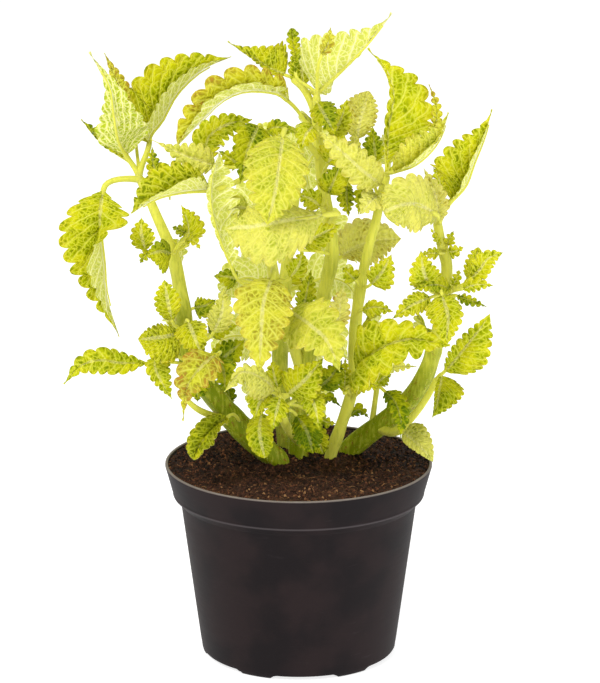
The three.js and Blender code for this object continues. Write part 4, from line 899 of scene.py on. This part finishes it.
def stemSkin():
    stem = Finish("coleusStem")
    age = stem.parts(stem.marks("veins", "Vector"))[1]
    spot = stem.node("ShaderNodeTexCoord", output="Object")
    stretched = stem.node("ShaderNodeMapping", Vector=spot, Scale=(1, 1, 0.14))
    streak, cork = stem.cloud(stretched, 800, 3), stem.cloud(spot, 300, 4, 0.7)
    skin = stem.mix(age.ramp(0.3, 1.0), limes["youngStem"], limes["oldStem"])
    skin = stem.mix(streak.ramp(0.48, 0.7) * (age * 0.3 + 0.16), skin, limes["darkStreak"])
    skin = stem.mix(streak.ramp(0.56, 0.3) * 0.4, skin, limes["paleStreak"])
    skin = stem.mix((cork.ramp(0.56, 0.66) * age.ramp(0.5, 1)).clamp(), skin, limes["cork"])
    stem.set(Base_Color=skin, Roughness=0.44 + streak * 0.15,
             Subsurface_Weight=0.2, Subsurface_Radius=(0.9, 1.0, 0.08), Subsurface_Scale=0.002,
             Specular_IOR_Level=0.12)
    stem.bump(streak * 0.6 + cork * age * 0.5, 0.0004, 0.6)
    return stem.material


def hairSkin():
    hair = Finish("coleusHair")
    tone = hair.cloud(hair.node("ShaderNodeTexCoord", output="Object"), 400)
    hair.set(Base_Color=hair.mix(tone, limes["hair"], limes["paleHair"]), Roughness=0.6 + tone * 0.2)
    return hair.material


def turned(name, first, rings, last, material, rising=False):
    # a closed skin over rings of points, from the middle of one end to the middle of the other,
    # down the outside unless it is rising
    n, end = len(rings[0]), 1 + (len(rings) - 1) * len(rings[0])
    faces = [(0, 1 + k, 1 + (k + 1) % n) for k in range(n)]
    for a in range(1, end, n):
        faces += [(a + k, a + n + k, a + n + (k + 1) % n, a + (k + 1) % n) for k in range(n)]
    faces += [(end + k, end + n, end + (k + 1) % n) for k in range(n)]
    if rising:
        faces = [(face[0], *face[:0:-1]) for face in faces]
    mesh = bpy.data.meshes.new(name)
    mesh.from_pydata(np.vstack([first, *rings, last]) * mm, [], faces)
    mesh.materials.append(material)
    mesh.shade_smooth()
    return placed(name, mesh)


# Potting soil
bed = {  # the profile of its side is radius and height, from the top down to the floor of the pot
    "side": ((63.2, 94.2), (59.8, 81.4), (56, 76.6), (45.9, 7), (42, 3.2)),
    "edgeHeight": 94.7, "crown": 0.7,
    "rough": ((0.11, 0.9, seed), (0.5, 1.4, 1), (1.3, 0.98, 2)),  # closeness, height, start of its waves
    "evenEdge": (12, 0.8), "mound": 1.8, "moundReach": 4,
    "rings": 72, "ringCrowding": 0.85, "turns": 200,
}
crumbs = {"Crumb Density": 270000.0, "Crumb Size": 0.0018,
          "Fibre Density": 60000.0, "Fibre Size": 0.0032, "Seed": 11}
grains = {
    "faceUp": 0.55, "crumbSides": (5, 4), "crumbScales": ((0.4, 0.35, 0.3), (1.5, 1.1, 0.8)),
    "crumbTurns": ((0, 0, 0), (6.3, 6.3, 6.3)), "crumbTones": (0, 1),
    "fibreBend": ((-0.5, 0, 0), (0.05, 0.34, 0.24), (0.5, 0, 0.02)), "fibreSides": 4,
    "fibreRadius": 0.045, "fibreScales": (0.35, 1.1), "fibreTones": (0.7, 1),
    "fibreTurns": ((-0.5, -0.35, 0), (0.5, 0.35, 6.3)),
}


def soilSkin():
    soil = Finish("pottingSoil")
    spot = soil.node("ShaderNodeTexCoord", output="Object")
    grain = soil.marks("grain", "Fac")
    lump, tone = soil.cloud(spot, 520, 5, 0.7), soil.cloud(spot, 60, 3)
    # painted light: the soil is lighter and warmer towards the lit front, darker further back under the
    # plant
    paintedFrontLight = 1 - soil.parts(spot)[1].ramp(-0.062, 0.012)
    skin = soil.mix(lump.ramp(0.45, 0.61), linear(11, 6, 6), linear(72, 44, 33))
    skin = soil.mix((tone.ramp(0.46, 0.66) * 0.25 + paintedFrontLight * 0.22).clamp(), skin, linear(96, 62, 40))
    skin = soil.mix(grain.ramp(0.4, 0.95) * lump.ramp(0.42, 0.58), skin, linear(126, 80, 54))
    # painted light: the tan flecks show more at the lit front
    skin = soil.mix(grain.ramp(0.9, 1.0) * (paintedFrontLight * 0.6 + 0.25), skin, linear(178, 134, 88))
    soil.set(Base_Color=skin, Roughness=0.8 + lump * 0.15, Specular_IOR_Level=0.22)
    soil.bump(lump, 0.001, 1)
    return soil.material


def crumbly(piece, material):
    crumble, g = Recipe("soilCrumbs", crumbs), grains
    faceUp = crumble.parts(crumble.node("GeometryNodeInputNormal"))[2].above(g["faceUp"])
    once = crumble.size("Seed")

    def strewn(density, grain, turns, scale, first):  # first is its first chance number
        points = crumble.node("GeometryNodeDistributePointsOnFaces", Mesh=crumble.given,
                              Selection=faceUp, Density=crumble.size(density), Seed=once + first)
        return crumble.node("GeometryNodeInstanceOnPoints", Points=points, Instance=grain,
                            Rotation=crumble.chance(turns, once + (first + 1)), Scale=scale)

    def toned(geometry, tones, number):
        return crumble.node("GeometryNodeStoreNamedAttribute",
                            {"data_type": "FLOAT", "domain": "INSTANCE"},
                            Geometry=geometry, Name="grain", n3=crumble.chance(tones, once + number))

    segments, ballRings = g["crumbSides"]
    ball = crumble.node("GeometryNodeMeshUVSphere", Segments=segments, Rings=ballRings, Radius=0.5)
    scale = crumble.node("ShaderNodeVectorMath", {"operation": "SCALE"},
                         n0=crumble.chance(g["crumbScales"], once + 3), Scale=crumble.size("Crumb Size"))
    balls = strewn("Crumb Density", ball, g["crumbTurns"], scale, 1)
    start, middle, end = g["fibreBend"]
    strand = crumble.node("GeometryNodeCurveQuadraticBezier", Resolution=g["fibreSides"],
                          Start=start, Middle=middle, End=end)
    section = crumble.node("GeometryNodeCurvePrimitiveCircle", {"mode": "RADIUS"},
                           Resolution=g["fibreSides"], Radius=g["fibreRadius"])
    fibre = crumble.node("GeometryNodeCurveToMesh", Curve=strand, Profile_Curve=section, Fill_Caps=True)
    scale = crumble.chance(g["fibreScales"], once + 6) * crumble.size("Fibre Size")
    fibres = strewn("Fibre Density", fibre, g["fibreTurns"], scale, 4)
    crumble.grow(piece, crumble.joined(crumble.given, toned(balls, g["crumbTones"], 7),
                                       toned(fibres, g["fibreTones"], 8)), material)


def pottedSoil(material):
    bases = [(place(x, height, depth), thick)
             for x, height, depth, thick in (stem["branches"]["main"][1] for stem in stems.values())]
    turns = 2 * np.pi * np.arange(bed["turns"]) / bed["turns"]
    topRadius = bed["side"][0][0]

    def heightAt(radius, x, y):
        share = radius / topRadius
        rough = sum(noise.noise((x * close, y * close, start)) * high
                    for close, high, start in bed["rough"])
        height = (bed["edgeHeight"] + bed["crown"] * (1 - share ** 2)
                  + rough * (1 - share ** bed["evenEdge"][0] * bed["evenEdge"][1]))
        for base, thick in bases:  # soil heaped round each stem
            away = np.hypot(x - base[0], y - base[1]) / (thick + bed["moundReach"])
            height += bed["mound"] * np.exp(-away ** 4)
        return height

    rings = []
    for radius in topRadius * np.linspace(0, 1, bed["rings"] + 1)[1:] ** bed["ringCrowding"]:
        ring = [(radius * np.cos(turn), radius * np.sin(turn)) for turn in turns]
        rings.append([(x, y, heightAt(radius, x, y)) for x, y in ring])
    rings += [[(radius * np.cos(turn), radius * np.sin(turn), height) for turn in turns]
              for radius, height in bed["side"]]
    piece = turned("pottingSoil", (0, 0, bed["edgeHeight"] + bed["crown"]), rings,
                   (0, 0, bed["side"][-1][1]), material)
    crumbly(piece, material)
    return piece


# The pot
pot = {
    "rimRadius": 65, "height": 96, "wall": 1.3, "sides": 192, "sharpAngle": 0.75, "holeSides": 32,
    "collarHeight": 15.3, "collarFootRadius": 61.2, "shoulderDrop": 3.6,
    "bodyTopRadius": 57.6, "bodyFootRadius": 47.8, "bodyRows": (12, -0.6, 9),
    "footRise": 2, "padRadius": 16, "padEdge": 2, "footInset": 5.4, "floorInset": 5,
    "footGap": 31, "footCount": 6, "footTurn": 3.5, "gapEnds": (-0.02, 0.05),
    # the points at each corner, outwards and upwards from it
    "footCorner": ((-5, 0.4), (-4.4, 0), (-2, 0), (-1.1, 0.35), (-0.5, 1.3)),
    "footSide": ((-0.15, 2.6), (0, 4), (0.5, 7)),
    "shoulderCorner": ((0.05, -0.2), (0.5, 0.3)),
    "collarCorner": ((-0.6, -0.75), (-0.05, -0.35), (0.2, 0.25), (0.15, 0.9)),
    "collarSide": ((0.2, 1), (-0.35, -2.2), (0.1, 0.35, 0.6, 0.85, 1)),  # and shares of the way between
    "rimCorner": ((-0.2, -1.6), (0, -1.1), (0, -0.5), (-0.25, -0.12), (-0.6, 0), (-1.2, -0.12),
                  (-1.4, -0.6)),
    "collarInside": ((0.2, 0.6), (-0.3, -0.2)), "shoulderInside": ((0.1, 0.2), (-0.2, -1)),
    "footInside": ((0.4, 7), (-0.3, 5)),
}
drains = {"Hole Count": 6, "Hole Radius": 0.004, "Hole Circle": 0.03, "Hole Turn": -1.51,
          "Cutter Height": 0.008}


def potSkin():
    plastic = Finish("potPlastic")
    spot = plastic.node("ShaderNodeTexCoord", output="Object")
    grain, cloud = plastic.cloud(spot, 1400), plastic.cloud(spot, 38, 3)
    scuffs = plastic.node("ShaderNodeMapping", Vector=spot, Rotation=(0.4, 0.2, 0.3), Scale=(1, 1, 9))
    scuff = plastic.cloud(scuffs, 60, 5, 0.7)
    height = plastic.parts(spot)[2]
    rim = height.ramp(0.0951, 0.09585)  # painted highlight along the top edge of the rim, broken by scuffed wear
    collarFootHighlight = height.ramp(0.0801, 0.0805) * (1 - height.ramp(0.0809, 0.0815))  # painted highlight line at the collar's foot
    skin = plastic.mix(cloud.ramp(0.35, 0.65), linear(24, 19, 21), linear(36, 27, 28))
    skin = plastic.mix(scuff.ramp(0.6, 0.8) * 0.2, skin, linear(70, 64, 66))
    # painted highlight on the rim's edge, mixed with wear
    skin = plastic.mix((rim * (scuff * 0.5 + 0.45)).clamp(), skin, linear(150, 140, 132))
    # painted highlight under the collar
    skin = plastic.mix(collarFootHighlight * 0.5, skin, linear(88, 82, 84))
    plastic.set(Base_Color=skin, Roughness=0.46 + cloud * 0.12 + scuff * 0.1, Specular_IOR_Level=0.1)
    plastic.bump(grain * 0.5 + scuff * 0.5, 0.00012, 0.5)
    return plastic.material


def potProfile():  # radius and height, from the pad up the outside, over the rim and down the inside
    p = pot
    foot, body, collar, rim = (p[key] for key in ("bodyFootRadius", "bodyTopRadius", "collarFootRadius",
                                                  "rimRadius"))
    wall, top, rise = p["wall"], p["height"], p["footRise"]
    collarFoot = top - p["collarHeight"]
    shoulder = collarFoot - p["shoulderDrop"]

    def corner(key, radius, height):
        return [(radius + out, height + up) for out, up in p[key]]

    floor = [(p["padRadius"], 0), (p["padRadius"] + p["padEdge"], rise), (foot - p["footInset"], rise)]
    footSide = corner("footSide", foot, 0)
    low, start = footSide[-1]
    first, under, count = p["bodyRows"]
    bodySide = [(low + (body - low) * (z - start) / (shoulder - start), z)
                for z in np.linspace(first, shoulder + under, count)]
    (outBelow, upBelow), (outAbove, upAbove), shares = p["collarSide"]
    below = np.array([collar + outBelow, collarFoot + upBelow])
    above = np.array([rim + outAbove, top + upAbove])
    collarSide = [tuple(below + (above - below) * share) for share in shares]
    outside = (footSide + bodySide + corner("shoulderCorner", body, shoulder)
               + corner("collarCorner", collar, collarFoot) + collarSide + corner("rimCorner", rim, top))
    inside = (corner("collarInside", collar - wall, collarFoot)
              + corner("shoulderInside", body - wall, shoulder) + corner("footInside", foot - wall, 0)
              + [(foot - p["floorInset"], rise + wall)])
    return floor, corner("footCorner", foot, 0), outside + inside


def turnedPot(material):
    turns = 2 * np.pi * np.arange(pot["sides"]) / pot["sides"]
    slot = 2 * np.pi / pot["footCount"]
    fromFront = turns + np.pi / 2 - np.radians(pot["footTurn"])
    offCentre = np.abs(np.mod(fromFront + slot / 2, slot) - slot / 2)
    halfGap = pot["footGap"] / 2 / pot["bodyFootRadius"]
    gap = 1 - smooth(*(halfGap + end for end in pot["gapEnds"]), offCentre)  # 1 between the feet
    floor, feet, rest = potProfile()
    rings = []
    for rows, rise in ((floor, 0), (feet, pot["footRise"]), (rest, 0)):
        for radius, height in rows:
            rings.append(np.column_stack([radius * np.cos(turns), radius * np.sin(turns),
                                          np.maximum(height, rise * gap)]))
    inner = (0, 0, pot["footRise"] + pot["wall"])
    piece = turned("nurseryPot", (0, 0, 0), rings, inner, material, rising=True)

    holes = Recipe("drainHoles", drains)
    circle = holes.node("GeometryNodeMeshCircle", Vertices=holes.size("Hole Count"),
                        Radius=holes.size("Hole Circle"))
    circle = holes.node("GeometryNodeTransform", Geometry=circle,
                        Rotation=holes.node("ShaderNodeCombineXYZ", Z=holes.size("Hole Turn")))
    cutter = holes.node("GeometryNodeMeshCylinder", Vertices=pot["holeSides"],
                        Radius=holes.size("Hole Radius"), Depth=holes.size("Cutter Height"))
    cutters = holes.node("GeometryNodeInstanceOnPoints", Points=circle, Instance=cutter)
    cutters = holes.node("GeometryNodeRealizeInstances", Geometry=cutters)
    drilled = holes.node("GeometryNodeMeshBoolean", {"operation": "DIFFERENCE"},
                         n0=holes.given, n1=cutters)
    holes.grow(piece, drilled, material)
    piece.data.set_sharp_from_angle(angle=pot["sharpAngle"])
    return piece


stage = {
    "floorSize": 12, "floorGrey": 0.5, "floorGlow": 0.8, "airLight": 0.35, "airSeen": 1.05,
    "aim": (0.00065, 0, 0.15625), "camera": (0, -1.5, 0.5585), "lens": 169.7, "sensor": 36,
    "lights": {  # place, size, watts and colour
        "keyLight": ((-0.75, -1.0, 1.5), 0.9, 24.5, (1, 0.985, 0.95)),
        "frontLight": ((0.45, -1.5, 0.3), 0.35, 3, (1, 0.99, 0.97)),
        "rightLight": ((1.3, -0.7, 0.35), 0.7, 6, (0.96, 0.98, 1)),
        "backLight": ((0.3, 1.2, 1.2), 0.9, 8, (1, 1, 1)),
    },
}


def aimed(name, data, position):
    item = bpy.data.objects.new(name, data)
    bpy.context.scene.collection.objects.link(item)
    item.location = position
    item.rotation_euler = (Vector(stage["aim"]) - Vector(position)).to_track_quat("-Z", "Y").to_euler()
    return item


def setStage():
    scene = bpy.context.scene
    scene.view_settings.view_transform = "Standard"
    scene.world = bpy.data.worlds.new("studioAir")
    scene.world.use_nodes = True
    air = Board(scene.world.node_tree)
    air.tree.nodes.remove(air.tree.nodes["Background"])
    dim, bright = (air.node("ShaderNodeBackground", Color=(1, 1, 1, 1), Strength=stage[key])
                   for key in ("airLight", "airSeen"))
    seen = air.node("ShaderNodeLightPath", output="Is Camera Ray")
    both = air.node("ShaderNodeMixShader", n0=seen, n1=dim, n2=bright)
    air.feed(air.tree.nodes["World Output"].inputs[0], both)

    bpy.ops.mesh.primitive_plane_add(size=stage["floorSize"])
    floor = bpy.context.object
    floor.name = "studioFloor"
    paper = Finish("studioPaper")
    paper.set(Base_Color=(stage["floorGrey"],) * 3 + (1,), Roughness=0.9,
              Emission_Color=(1, 1, 1, 1), Emission_Strength=stage["floorGlow"])
    floor.data.materials.append(paper.material)
    for name, (position, size, power, colour) in stage["lights"].items():
        light = bpy.data.lights.new(name, "AREA")
        light.size, light.energy, light.color = size, power, colour
        aimed(name, light, position)
    camera = bpy.data.cameras.new("frontCamera")
    camera.lens, camera.sensor_width = stage["lens"], stage["sensor"]
    scene.camera = aimed("frontCamera", camera, stage["camera"])


setStage()
print("stage set")
plantMaterials = [leafSkin(), stemSkin(), hairSkin()]
for title, stem in stems.items():
    foliage = leafyStem("foliage_" + title, stem, plantMaterials)
    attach(foliage, "root")
    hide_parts(title)
    print(title, len(foliage.data.polygons), "faces")

nurseryPot = turnedPot(potSkin())
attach(nurseryPot, "root")
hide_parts("pot")
print("pot turned")

soil = pottedSoil(soilSkin())
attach(soil, "root")
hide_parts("soil")
print("soil laid", len(soil.data.polygons), "faces")
